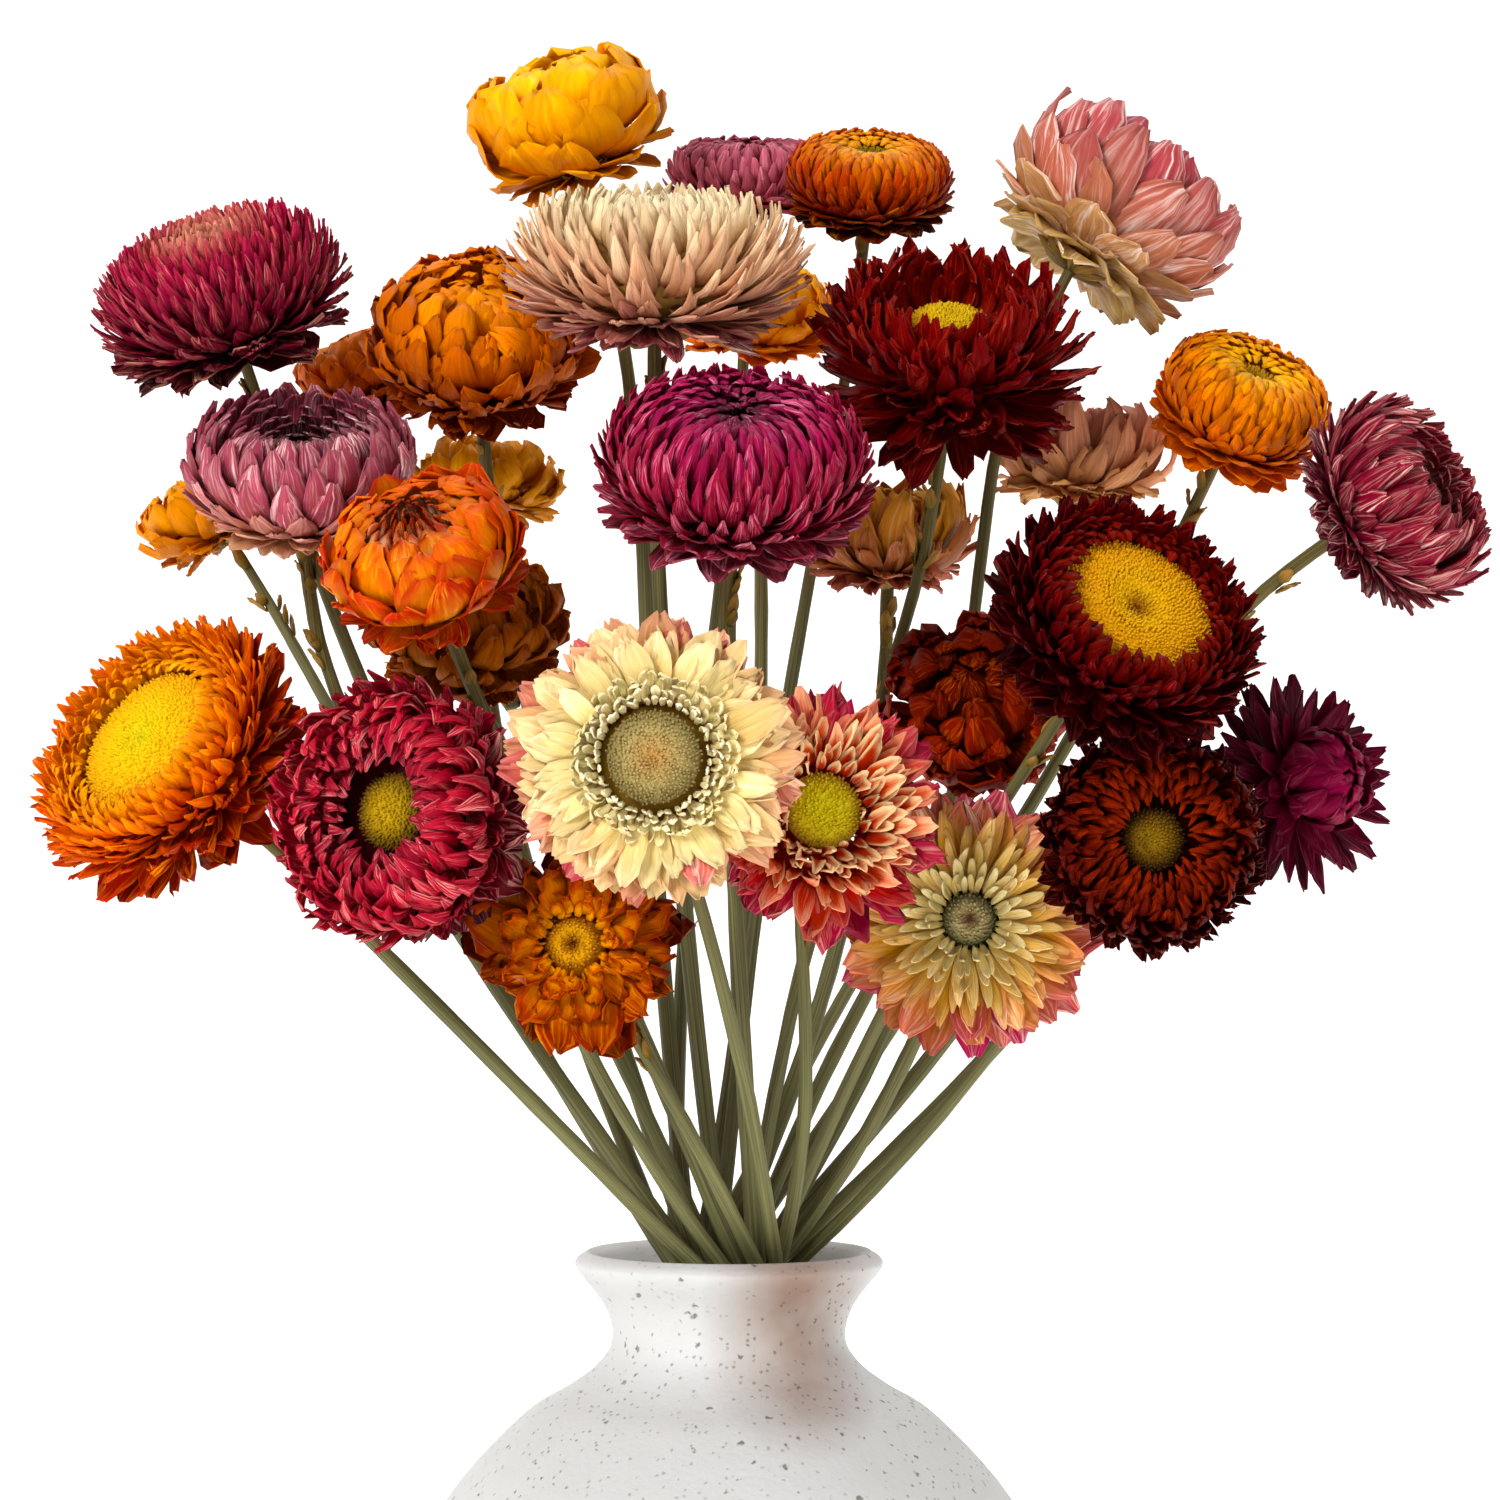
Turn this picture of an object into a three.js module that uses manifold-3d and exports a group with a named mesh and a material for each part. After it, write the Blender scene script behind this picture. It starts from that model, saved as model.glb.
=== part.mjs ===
// A bouquet of dried strawflowers in a round stoneware vase.
// Millimetres, +Z up, origin at the centre of the vase's foot, the front of the bouquet towards -Y.
import * as THREE from 'three'
import * as BufferGeometryUtils from 'three/addons/utils/BufferGeometryUtils.js'
import Module from 'manifold-3d'

const wasm = await Module()
wasm.setup()

// Vase
const VASE_HEIGHT = 122
const VASE_SIDES = 24
const FLOOR_THICKNESS = 5.5
const FOOT_RADIUS = 36
// Outline of the thrown wall from the foot to the lip: radius, height above the foot.
const OUTER_WALL = [
  [FOOT_RADIUS, 0], [47, 11], [54.5, 27], [57, 48], [54.5, 64], [47.2, 80.3], [34.9, 94],
  [27, 99.1], [22, 102.9], [19.4, 107.3], [20.8, 113], [25.7, 119.4], [23.3, 122],
]
// The same wall on the inside, from the lip down to the floor.
const INNER_WALL = [
  [20.6, 121.2], [16.4, 113], [15.7, 107.3], [18.6, 101], [31.5, 90], [43.4, 77.5], [52.9, 50],
  [50.5, 29], [43.4, 14.5], [33, FLOOR_THICKNESS],
]

// Stems
const STEM_SIDES = 5
const STEM_NECK_RADIUS = 1.36
const STEM_MOUTH_RADIUS = 1.58
const STEM_TOP_RADIUS = 1.15
const STEM_SEAT_RADIUS = 2.1
const THINNEST_STEM = 0.86
const THICKEST_STEM = 1.08
const THICKNESS_SEED = 77
const TOUCH_GAP = 0.3
// The stems lean through the neck as a spiral, so that no two of them meet: each crosses the height
// CROSSING at SPIRAL mm from the axis for a lean of 1, and spreads by SPREAD mm below it.
const CROSSING = VASE_HEIGHT - 9
const SPIRAL = 11.5
const SPREAD = 24
const LEAN_LIMIT = 1.03
const LEAN_APART = 0.315
const LEAN_ROUNDS = 400
const STEM_FREE_HEIGHT = VASE_HEIGHT + 7
const STEM_HEIGHTS = [FLOOR_THICKNESS + TOUCH_GAP, 97, CROSSING, STEM_FREE_HEIGHT]
const STEM_UPPER_STEPS = 5
// How far a free stem holds its first direction, and the direction of its head, as shares of its length.
const START_HOLD = 0.45
const HEAD_HOLD = 0.26

// Flower heads
const BRACT_EDGE = 0.7
const SHORTEST_BRACT = 0.94
const LONGEST_BRACT = 1.06
// A tip may rise or sink by half of TIP_LIFT head radii, and swing aside by half of TIP_SWING bracts.
const TIP_LIFT = 0.035
const TIP_SWING = 0.3
// A form lists its rings of bracts from the outermost in, in head radii: the radius and height of
// the ring's root on the receptacle, the radius and height of its tips, and how far out the notches
// between its bracts lie. Then follow the edge of the disc and the ring of florets on it, each a
// radius and a height, the height of the disc's middle and the depth of the back below the widest ring.
const HEAD_FORMS = {
  open: {
    rings: [
      [0.28, -0.38, 0.86, -0.45, 0.5], [0.56, -0.31, 1.0, -0.16, 0.44],
      [0.7, -0.12, 0.95, 0.17, 0.4], [0.66, 0.08, 0.7, 0.37, 0.35],
    ],
    edge: [0.5, 0.13],
    dome: [0.27, 0.12],
    crown: 0.08,
    back: 0.44,
  },
  deep: {
    rings: [
      [0.28, -0.38, 0.86, -0.45, 0.5], [0.56, -0.31, 1.0, -0.16, 0.44],
      [0.7, -0.12, 0.95, 0.17, 0.4], [0.6, 0.1, 0.6, 0.4, 0.35],
    ],
    edge: [0.36, 0.14],
    dome: [0.2, 0.12],
    crown: 0.08,
    back: 0.44,
  },
  dome: {
    rings: [
      [0.28, -0.39, 0.88, -0.44, 0.5], [0.56, -0.31, 1.0, -0.07, 0.44],
      [0.72, -0.1, 0.96, 0.28, 0.4], [0.68, 0.17, 0.66, 0.52, 0.35],
    ],
    edge: [0.45, 0.36],
    dome: [0.2, 0.42],
    crown: 0.34,
    back: 0.44,
  },
  cup: {
    rings: [
      [0.25, -0.42, 0.86, -0.37, 0.5], [0.52, -0.35, 1.0, 0.06, 0.42],
      [0.68, -0.14, 0.95, 0.38, 0.38], [0.66, 0.12, 0.7, 0.58, 0.35],
    ],
    edge: [0.45, 0.3],
    dome: [0.2, 0.36],
    crown: 0.28,
    back: 0.47,
  },
  spread: {
    rings: [
      [0.2, -0.34, 0.96, -0.38, 0.4], [0.34, -0.26, 1.0, -0.03, 0.4],
      [0.42, -0.12, 0.84, 0.24, 0.42], [0.4, 0.06, 0.34, 0.56, 0.5],
    ],
    edge: [0.26, 0.22],
    dome: [0.14, 0.42],
    crown: 0.5,
    back: 0.4,
  },
}

// Each head: number, slot, form, bracts in a ring, radius, height factor, centre x y z, axis x y z.
const HEADS = [
  [1, 'gold', 'cup', 9, 17.4, 1.25, -28, 30, 313.5, -0.3, -0.25, 0.92],
  [2, 'mauve', 'dome', 8, 15.2, 0.95, 3.5, 54, 307, 0, -0.2, 0.98],
  [3, 'orange_red', 'dome', 9, 14.8, 1.05, 24, 28, 303.5, 0.05, -0.38, 0.92],
  [4, 'peach', 'cup', 12, 26.3, 0.98, -12, -12, 285, 0.02, -0.2, 0.98],
  [5, 'pink', 'cup', 11, 22, 1.15, 65.5, 16, 296.5, 0.62, 0.08, 0.78],
  [6, 'crimson', 'dome', 11, 22.2, 1.1, -85.5, 8, 282.5, -0.28, -0.34, 0.9],
  [7, 'orange', 'dome', 11, 19.4, 1.15, -42.5, 14, 275, 0, -0.6, 0.8],
  [8, 'orange', 'dome', 8, 13.8, 1, -63.5, 38, 270.5, -0.35, -0.15, 0.92],
  [9, 'orange', 'dome', 8, 14.5, 1, 5, 36, 281, 0, -0.2, 0.98],
  [10, 'maroon', 'deep', 12, 23.6, 1.35, 36, -14, 272, 0.02, -0.5, 0.87],
  [11, 'mauve', 'cup', 10, 19.4, 1.05, -70.5, -10, 251, 0.02, -0.4, 0.92],
  [12, 'gold', 'dome', 8, 13.5, 1, -89, 23.5, 246.5, -0.55, -0.05, 0.83],
  [13, 'gold', 'cup', 8, 13.5, 0.95, -42, 44, 252.5, 0.1, 0.1, 0.99],
  [14, 'orange_red', 'dome', 10, 17.4, 1, -48.5, -38, 235.5, -0.22, -0.62, 0.75],
  [15, 'rust', 'dome', 9, 17.2, 1, -43, -10, 226.5, 0.05, -0.6, 0.79],
  [16, 'magenta', 'dome', 12, 23, 1, 1, -36, 251, 0.05, -0.5, 0.86],
  [17, 'peach', 'cup', 8, 16, 1.1, 60.5, 30, 256.5, 0.12, -0.05, 0.99],
  [18, 'peach', 'cup', 8, 15.2, 1.15, 27, 20, 242, 0, -0.08, 1],
  [19, 'orange', 'deep', 9, 15.2, 1.3, 87, 14, 264, 0.34, -0.5, 0.8],
  [20, 'crimson', 'dome', 10, 18.8, 1.05, 110, -8, 246, 0.8, -0.42, 0.42],
  [21, 'maroon', 'open', 12, 23.2, 1, 63.5, -50, 226.5, 0.36, -0.74, 0.57],
  [22, 'rust', 'dome', 9, 15.8, 1.15, 41, -14, 213, -0.12, -0.86, 0.5],
  [23, 'maroon', 'deep', 10, 18.6, 1, 67, -48, 191.2, 0.1, -0.98, 0.12],
  [24, 'plum', 'spread', 9, 18.6, 1, 95.5, -16, 200, 0.6, -0.78, 0.15],
  [25, 'orange', 'open', 12, 25.4, 1.05, -93, -20, 205.5, -0.58, -0.62, 0.53],
  [26, 'crimson', 'deep', 11, 22, 1.05, -53, -46, 195.5, -0.5, -0.86, 0.1],
  [27, 'cream', 'deep', 12, 23, 0.9, -11, -80, 204, -0.03, -0.99, 0.12],
  [28, 'coral', 'deep', 10, 21.4, 0.95, 14.5, -58, 195.5, 0.2, -0.93, 0.28],
  [29, 'orange', 'deep', 9, 18.3, 0.9, -24.5, -42, 174.5, -0.05, -0.99, 0.12],
  [30, 'cream', 'deep', 11, 22.4, 0.85, 38.5, -34, 178, 0.05, -0.98, 0.16],
]
// Two stems fork and carry a smaller head on a side branch: the main head and the branch's head.
const FORKS = { 7: 8, 11: 12 }
const FORK_STEP = 2
const SIDE_STEM_RADIUS = 0.95
// Clear space kept round a stem that passes another stem, or a head that it doesn't carry, which
// counts as an egg shape HEAD_HALF_DEPTH as deep as it is wide.
const STEM_CLEAR = 3.9
const HEAD_CLEAR = 2.3
const HEAD_HALF_DEPTH = 0.5
const BEND_ROUNDS = 60
const BEND_SHARE_LEAST = 0.35

const COLOURS = {
  stoneware: '#e9e6e1', stem: '#7b7a52', gold: '#e9a512', mauve: '#b0617c', orange_red: '#d8541a',
  peach: '#dfb48a', pink: '#cf8793', crimson: '#8f1f3b', orange: '#e07a12', maroon: '#4f0d16',
  rust: '#8c3214', magenta: '#a11555', plum: '#56122f', coral: '#e08566', cream: '#e6d49a',
}

// A repeatable random number from 0 to 1, from a seed.
function draws(seed) {
  let state = seed * 2654435761 % 4294967296
  return () => {
    state = (state * 1664525 + 1013904223) % 4294967296
    return state / 4294967296
  }
}

function paper(slot, roughness = 0.6) {
  return new THREE.MeshStandardMaterial({ color: COLOURS[slot], roughness, metalness: 0 })
}

function mesh(name, geometry, slot, roughness) {
  const made = new THREE.Mesh(geometry, paper(slot, roughness))
  made.name = name
  return made
}

function closedGeometry(points, faces) {
  const geometry = new THREE.BufferGeometry()
  geometry.setAttribute('position', new THREE.Float32BufferAttribute(points.flatMap((p) => p.toArray()), 3))
  geometry.setIndex(faces.flat())
  geometry.computeVertexNormals()
  return geometry
}

// The strip of triangles between two rings of corners. A corner that both rings share makes one
// triangle of its quad. Both faces of a bract are split along the same lines.
function strip(lower, upper, outward, faces) {
  const count = lower.length
  for (let i = 0; i < count; i++) {
    const j = (i + 1) % count
    const [a, b, c, d] = [lower[i], lower[j], upper[j], upper[i]]
    const alongFirst = (i % 2 === 0) === outward
    const pair = alongFirst ? [[a, b, c], [a, c, d]] : [[a, b, d], [b, c, d]]
    for (const face of pair) {
      if (new Set(face).size === 3) faces.push(face)
    }
  }
}

function vase() {
  const profile = [[0, 0], ...OUTER_WALL, ...INNER_WALL, [0, FLOOR_THICKNESS]]
  const points = profile.map(([r, z]) => new THREE.Vector2(r, z))
  const geometry = new THREE.LatheGeometry(points, VASE_SIDES)
  geometry.rotateX(Math.PI / 2)
  return mesh('vase', geometry, 'stoneware', 0.75)
}

// One flower head round +Z with its widest ring near z = 0: a receptacle with rings of pointed
// bracts, each ring turned half a bract from the last, round a low disc of florets.
function headGeometry(number, form, bracts, radius, tall) {
  const random = draws(number)
  const { rings, edge, dome, crown, back } = HEAD_FORMS[form]
  const columns = 2 * bracts
  const points = []
  const faces = []
  const corner = (r, z, angle) => {
    points.push(new THREE.Vector3(r * Math.cos(angle), r * Math.sin(angle), z))
    return points.length - 1
  }
  const angleAt = (column) => Math.PI * column / bracts
  const plainRing = (r, z) => Array.from({ length: columns }, (_, i) => corner(r, z, angleAt(i)))
  // A small ring has one corner for each two columns.
  const smallRing = (r, z) => {
    const corners = Array.from({ length: bracts }, (_, i) => corner(r, z, angleAt(2 * i + 0.5)))
    return Array.from({ length: columns }, (_, i) => corners[Math.floor(i / 2)])
  }
  // The flat fan of triangles between a ring and a corner on the axis.
  const fan = (pole, ring) => ring.forEach((c, i) => {
    const face = [pole, c, ring[(i + 1) % columns]]
    if (new Set(face).size === 3) faces.push(face)
  })
  const height = (share) => share * radius * tall

  const basePole = corner(0, height(-back), 0)
  let last = smallRing(STEM_SEAT_RADIUS, height(-back))
  fan(basePole, last)
  faces.forEach((face) => face.reverse())

  rings.forEach(([rootR, rootZ, tipR, tipZ, notch], ring) => {
    const root = plainRing(rootR * radius, height(rootZ))
    strip(last, root, true, faces)
    const under = []
    const over = []
    const next = rings[ring + 1] ?? edge
    const slope = new THREE.Vector2(tipR - rootR, (tipZ - rootZ) * tall).normalize()
    for (let i = 0; i < columns; i++) {
      const tip = i % 2 === ring % 2
      const reach = (tip ? 1 : notch) * THREE.MathUtils.lerp(SHORTEST_BRACT, LONGEST_BRACT, random())
      const lift = TIP_LIFT * (random() - 0.5) * radius
      const swing = tip ? TIP_SWING * (random() - 0.5) / bracts * Math.PI : 0
      const middleR = (rootR + next[0]) / 2
      const middleZ = (rootZ + next[1]) / 2
      const r = (middleR + (tipR - middleR) * reach) * radius
      const z = height(middleZ + (tipZ - middleZ) * reach) + lift
      if (tip) {
        const half = BRACT_EDGE / 2
        under.push(corner(r + slope.y * half, z - slope.x * half, angleAt(i) + swing))
        over.push(corner(r - slope.y * half, z + slope.x * half, angleAt(i) + swing))
      } else {
        const shared = corner(r, z, angleAt(i))
        under.push(shared)
        over.push(shared)
      }
    }
    strip(root, under, true, faces)
    strip(under, over, true, faces)
    last = over
  })

  const rim = plainRing(edge[0] * radius, height(edge[1]))
  strip(last, rim, false, faces)
  const florets = smallRing(dome[0] * radius, height(dome[1]))
  strip(rim, florets, true, faces)
  fan(corner(0, height(crown), 0), florets)
  return closedGeometry(points, faces)
}

function headAxis(head) {
  return new THREE.Vector3(...head.slice(9, 12)).normalize()
}

// Where the stem meets the back of the head.
function headSeat(head) {
  const [, , form, , radius, tall, x, y, z] = head
  const depth = HEAD_FORMS[form].back * radius * tall + TOUCH_GAP
  return new THREE.Vector3(x, y, z).addScaledVector(headAxis(head), -depth)
}

function flowerHead(head) {
  const [number, slot, form, bracts, radius, tall, x, y, z] = head
  const name = `head_${String(number).padStart(2, '0')}_${slot}`
  const made = mesh(name, headGeometry(number, form, bracts, radius, tall), slot)
  made.position.set(x, y, z)
  made.quaternion.setFromUnitVectors(new THREE.Vector3(0, 0, 1), headAxis(head))
  return made
}

// How far each stem leans, as sideways mm for each mm up. The leans start as the straight way from
// the neck to the head, and are pushed apart until the stems pass the neck side by side.
function stemLeans(heads) {
  const leans = heads.map((head) => {
    const seat = headSeat(head)
    return new THREE.Vector2(seat.x, seat.y).divideScalar(seat.z - CROSSING)
  })
  const mean = leans.reduce((sum, lean) => sum.add(lean), new THREE.Vector2()).divideScalar(leans.length)
  leans.forEach((lean) => lean.sub(mean))
  for (let round = 0; round < LEAN_ROUNDS; round++) {
    for (let i = 0; i < leans.length; i++) {
      for (let j = 0; j < i; j++) {
        const apart = leans[i].clone().sub(leans[j])
        const missing = LEAN_APART - apart.length()
        if (missing > 0) {
          apart.setLength(missing / 2)
          leans[i].add(apart)
          leans[j].sub(apart)
        }
      }
    }
    leans.forEach((lean) => lean.clampLength(0, LEAN_LIMIT))
  }
  return { leans, mean }
}

// How far the stems have spread at a height: straight above the crossing, easing below it.
function spreadAt(z) {
  const above = z - CROSSING
  return above > 0 ? above : -SPREAD * (1 - Math.exp(above / SPREAD))
}

function stemPoint(lean, mean, z) {
  const spread = spreadAt(z)
  return new THREE.Vector3(
    (lean.x + mean.x) * spread - lean.y * SPIRAL,
    (lean.y + mean.y) * spread + lean.x * SPIRAL,
    z,
  )
}

// The free part of a stem, from a point below to the seat of its head, which it meets square on.
function freeCurve(start, direction, head) {
  const seat = headSeat(head)
  const length = start.distanceTo(seat)
  return new THREE.CubicBezierCurve3(
    start,
    start.clone().addScaledVector(direction, START_HOLD * length),
    seat.clone().addScaledVector(headAxis(head), -HEAD_HOLD * length),
    seat,
  )
}

// A closed round stick through the points. Its last ring lies square to the end direction.
function stick(points, radii, end) {
  const corners = []
  const faces = []
  const rings = points.map((point, i) => {
    const before = points[Math.max(i - 1, 0)]
    const after = points[Math.min(i + 1, points.length - 1)]
    let along = after.clone().sub(before).normalize()
    if (i === 0) along = new THREE.Vector3(0, 0, 1)
    if (i === points.length - 1) along = end.clone()
    const side = new THREE.Vector3(1, 0, 0).addScaledVector(along, -along.x).normalize()
    const other = along.clone().cross(side)
    return Array.from({ length: STEM_SIDES }, (_, k) => {
      const angle = 2 * Math.PI * k / STEM_SIDES
      corners.push(point.clone()
        .addScaledVector(side, radii[i] * Math.cos(angle))
        .addScaledVector(other, radii[i] * Math.sin(angle)))
      return corners.length - 1
    })
  })
  for (let i = 1; i < rings.length; i++) strip(rings[i - 1], rings[i], true, faces)
  for (let k = 1; k < STEM_SIDES - 1; k++) {
    faces.push([rings[0][0], rings[0][k + 1], rings[0][k]])
    const cap = rings.at(-1)
    faces.push([cap[0], cap[k], cap[k + 1]])
  }
  return closedGeometry(corners, faces)
}

function solid(geometry) {
  const bare = geometry.clone()
  bare.deleteAttribute('normal')
  bare.deleteAttribute('uv')
  const merged = BufferGeometryUtils.mergeVertices(bare, 1e-5)
  return new wasm.Manifold(new wasm.Mesh({
    numProp: 3,
    vertProperties: new Float32Array(merged.attributes.position.array),
    triVerts: new Uint32Array(merged.index.array),
  }))
}

function joined(first, second) {
  const { vertProperties, triVerts } = solid(first).add(solid(second)).getMesh()
  const geometry = new THREE.BufferGeometry()
  geometry.setAttribute('position', new THREE.BufferAttribute(vertProperties, 3))
  geometry.setIndex(new THREE.BufferAttribute(triVerts, 1))
  geometry.computeVertexNormals()
  return geometry
}

// The shortest vector from one straight length of stem to another, and how far along both it lies.
function shortest(a, b, c, d) {
  const u = b.clone().sub(a)
  const v = d.clone().sub(c)
  const w = a.clone().sub(c)
  const [uu, uv, vv, uw, vw] = [u.dot(u), u.dot(v), v.dot(v), u.dot(w), v.dot(w)]
  const cross = Math.max(uu * vv - uv * uv, 1e-9)
  let along = THREE.MathUtils.clamp((uv * vw - vv * uw) / cross, 0, 1)
  const other = THREE.MathUtils.clamp((uv * along + vw) / vv, 0, 1)
  along = THREE.MathUtils.clamp((uv * other - uw) / uu, 0, 1)
  return c.clone().addScaledVector(v, other).sub(a.clone().addScaledVector(u, along))
}

// A stem bends most in its middle: point i of its way moves by this share of a push.
function bendShare(way, i) {
  return Math.sin(Math.PI * i / (way.points.length - 1))
}

function push(way, i, vector) {
  const share = Math.max(bendShare(way, i), BEND_SHARE_LEAST)
  way.points.forEach((point, k) => {
    if (k > 0 && k < way.points.length - 1) point.addScaledVector(vector, bendShare(way, k) / share)
  })
}

// Bends the free ways clear of one another, of the fixed ones and of the heads that they pass.
function bendClear(free, fixed, heads) {
  for (let round = 0; round < BEND_ROUNDS; round++) {
    free.forEach((way, first) => {
      const others = [...free.slice(first + 1), ...fixed.filter((other) => other !== way.parent)]
      for (const other of others) {
        for (let i = 1; i < way.points.length; i++) {
          for (let j = 1; j < other.points.length; j++) {
            const gap = shortest(way.points[i - 1], way.points[i], other.points[j - 1], other.points[j])
            const missing = STEM_CLEAR - gap.length()
            if (missing <= 0) continue
            gap.setLength(missing / 2)
            push(way, i - 0.5, gap.clone().negate())
            if (free.includes(other)) push(other, j - 0.5, gap)
          }
        }
      }
      for (const head of heads) {
        if (way.carries.includes(head[0])) continue
        clearHead(way, head)
      }
    })
  }
}

// Pushes a way out of the rounded space that a head takes up.
function clearHead(way, head) {
  const [, , , , radius, tall] = head
  const centre = new THREE.Vector3(...head.slice(6, 9))
  const axis = headAxis(head)
  const wide = radius + HEAD_CLEAR
  const deep = HEAD_HALF_DEPTH * radius * tall + HEAD_CLEAR
  for (let i = 0.5; i < way.points.length - 1; i += 0.5) {
    const place = way.points[Math.floor(i)].clone().lerp(way.points[Math.ceil(i)], i % 1).sub(centre)
    const up = place.dot(axis)
    const flat = place.clone().addScaledVector(axis, -up)
    const inside = Math.hypot(flat.length() / wide, up / deep)
    if (inside >= 1) continue
    const out = flat.divideScalar(wide * wide).addScaledVector(axis, up / (deep * deep)).normalize()
    push(way, i, out.multiplyScalar((1 - inside) * deep))
  }
}

// The ways of all the stems: each has points from the vase's floor, or the fork, to the seat.
function stemWays(heads) {
  const branches = new Map(Object.entries(FORKS).map(([main, side]) => [side, Number(main)]))
  const mains = heads.filter((head) => !branches.has(head[0]))
  const { leans, mean } = stemLeans(mains)
  const ways = mains.map((head, i) => {
    const [lean, slope] = [leans[i], leans[i].clone().add(mean)]
    const lower = STEM_HEIGHTS.map((z) => stemPoint(lean, mean, z))
    const start = lower.at(-1).clone()
    const curve = freeCurve(start, new THREE.Vector3(slope.x, slope.y, 1).normalize(), head)
    return { head, lower, points: curve.getPoints(STEM_UPPER_STEPS), carries: [head[0]] }
  })
  bendClear(ways, [], heads)
  const sides = heads.filter((head) => branches.has(head[0])).map((head) => {
    const parent = ways.find((way) => way.head[0] === branches.get(head[0]))
    const fork = parent.points[FORK_STEP].clone()
    const along = fork.clone().sub(parent.points[FORK_STEP - 1]).normalize()
    const away = headSeat(head).sub(fork).normalize()
    const curve = freeCurve(fork, along.lerp(away, 0.5).normalize(), head)
    const carries = [head[0], parent.head[0]]
    return { head, parent, points: curve.getPoints(STEM_UPPER_STEPS), carries }
  })
  bendClear(sides, ways, heads)
  return { ways, sides }
}

function stem(way, side, thick) {
  const points = [...way.lower, ...way.points.slice(1)]
  const mouth = way.lower.length - 1
  const radii = points.map((_, i) => {
    if (i < mouth) return thick * STEM_NECK_RADIUS
    const share = (i - mouth) / (points.length - 1 - mouth)
    return thick * THREE.MathUtils.lerp(STEM_MOUTH_RADIUS, STEM_TOP_RADIUS, share)
  })
  radii[radii.length - 1] = STEM_SEAT_RADIUS
  let geometry = stick(points, radii, headAxis(way.head))
  const label = (head) => String(head[0]).padStart(2, '0')
  let name = `stem_${label(way.head)}`
  if (side) {
    const sideRadii = side.points.map(() => SIDE_STEM_RADIUS)
    sideRadii[sideRadii.length - 1] = STEM_SEAT_RADIUS
    geometry = joined(geometry, stick(side.points, sideRadii, headAxis(side.head)))
    name += `_${label(side.head)}`
  }
  return mesh(name, geometry, 'stem', 0.8)
}

const bouquet = new THREE.Group()
bouquet.add(vase())
HEADS.forEach((head) => bouquet.add(flowerHead(head)))
const { ways, sides } = stemWays(HEADS)
const thickness = draws(THICKNESS_SEED)
ways.forEach((way) => {
  const side = sides.find((branch) => branch.parent === way)
  bouquet.add(stem(way, side, THREE.MathUtils.lerp(THINNEST_STEM, THICKEST_STEM, thickness())))
})

export default bouquet
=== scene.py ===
# %% [markdown]
# # Dried strawflowers in a stoneware vase
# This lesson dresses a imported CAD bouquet: thirty dried flower heads, the stems that carry them,
# and the round vase that they stand in. The CAD part gives every place and size. Blender gives each
# head its hundred or more papery bracts, each stem its ribs, and the vase its speckled glaze.
#
# A strawflower has no soft petals. What looks like one is a bract, a stiff dry scale, and the true
# flowers are the tiny florets of the disc in the middle. That is why they keep colour for years.

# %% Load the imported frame
import math
import random

import bmesh
import bpy
from mathutils import Matrix, Vector


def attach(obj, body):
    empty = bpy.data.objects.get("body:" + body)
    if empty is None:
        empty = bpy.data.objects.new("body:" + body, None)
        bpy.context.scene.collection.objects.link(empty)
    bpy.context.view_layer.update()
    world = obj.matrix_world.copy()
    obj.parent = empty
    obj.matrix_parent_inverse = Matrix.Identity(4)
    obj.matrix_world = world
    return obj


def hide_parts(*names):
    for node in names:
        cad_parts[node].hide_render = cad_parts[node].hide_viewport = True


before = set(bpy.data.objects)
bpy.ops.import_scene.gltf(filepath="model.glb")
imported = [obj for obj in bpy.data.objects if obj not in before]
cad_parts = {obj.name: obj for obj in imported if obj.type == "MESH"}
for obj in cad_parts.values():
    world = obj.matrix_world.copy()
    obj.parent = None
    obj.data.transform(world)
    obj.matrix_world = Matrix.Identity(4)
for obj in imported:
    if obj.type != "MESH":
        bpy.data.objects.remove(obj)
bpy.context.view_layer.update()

MM = 0.001

# %% [markdown]
# ## The camera
# The photograph was taken level, from a little under a metre away, at the height of the lower
# heads. A long lens keeps the heads at the sides round. At the vase's axis the picture is 250 mm
# wide, so the lens length follows from the distance and Blender's sensor width of 36 mm.

# %% Camera
VIEW_WIDTH = 250 * MM
CAMERA_DISTANCE = 880 * MM
CAMERA_ASIDE = 3.5 * MM
CAMERA_HEIGHT = 205.3 * MM
lens = bpy.data.cameras.new("camera")
lens.sensor_width = 36
lens.lens = lens.sensor_width * CAMERA_DISTANCE / VIEW_WIDTH
camera = bpy.data.objects.new("camera", lens)
camera.location = (CAMERA_ASIDE, -CAMERA_DISTANCE, CAMERA_HEIGHT)
camera.rotation_euler = (math.radians(90), 0, 0)
bpy.context.scene.collection.objects.link(camera)
bpy.context.scene.camera = camera
print("lens:", round(lens.lens, 1), "mm")

# %% [markdown]
# ## Small helpers
# Colours are written as sRGB hex values, as a paint chart gives them, and one function turns them
# into the linear values that the shader nodes expect. Another adds a shader node, named without the
# ShaderNode that all their names start with, sets its settings and fills or links its inputs. The
# others start a material with its constant values, turn a finished bmesh into a piece of the part,
# extrude open edges, as the floor and the stems need, and turn a direction into a place to build in.

# %% Colour and node helpers
def linear(code):
    parts = [int(code[i:i + 2], 16) / 255 for i in (1, 3, 5)]
    return [c / 12.92 if c <= 0.04045 else ((c + 0.055) / 1.055) ** 2.4 for c in parts] + [1]


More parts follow.
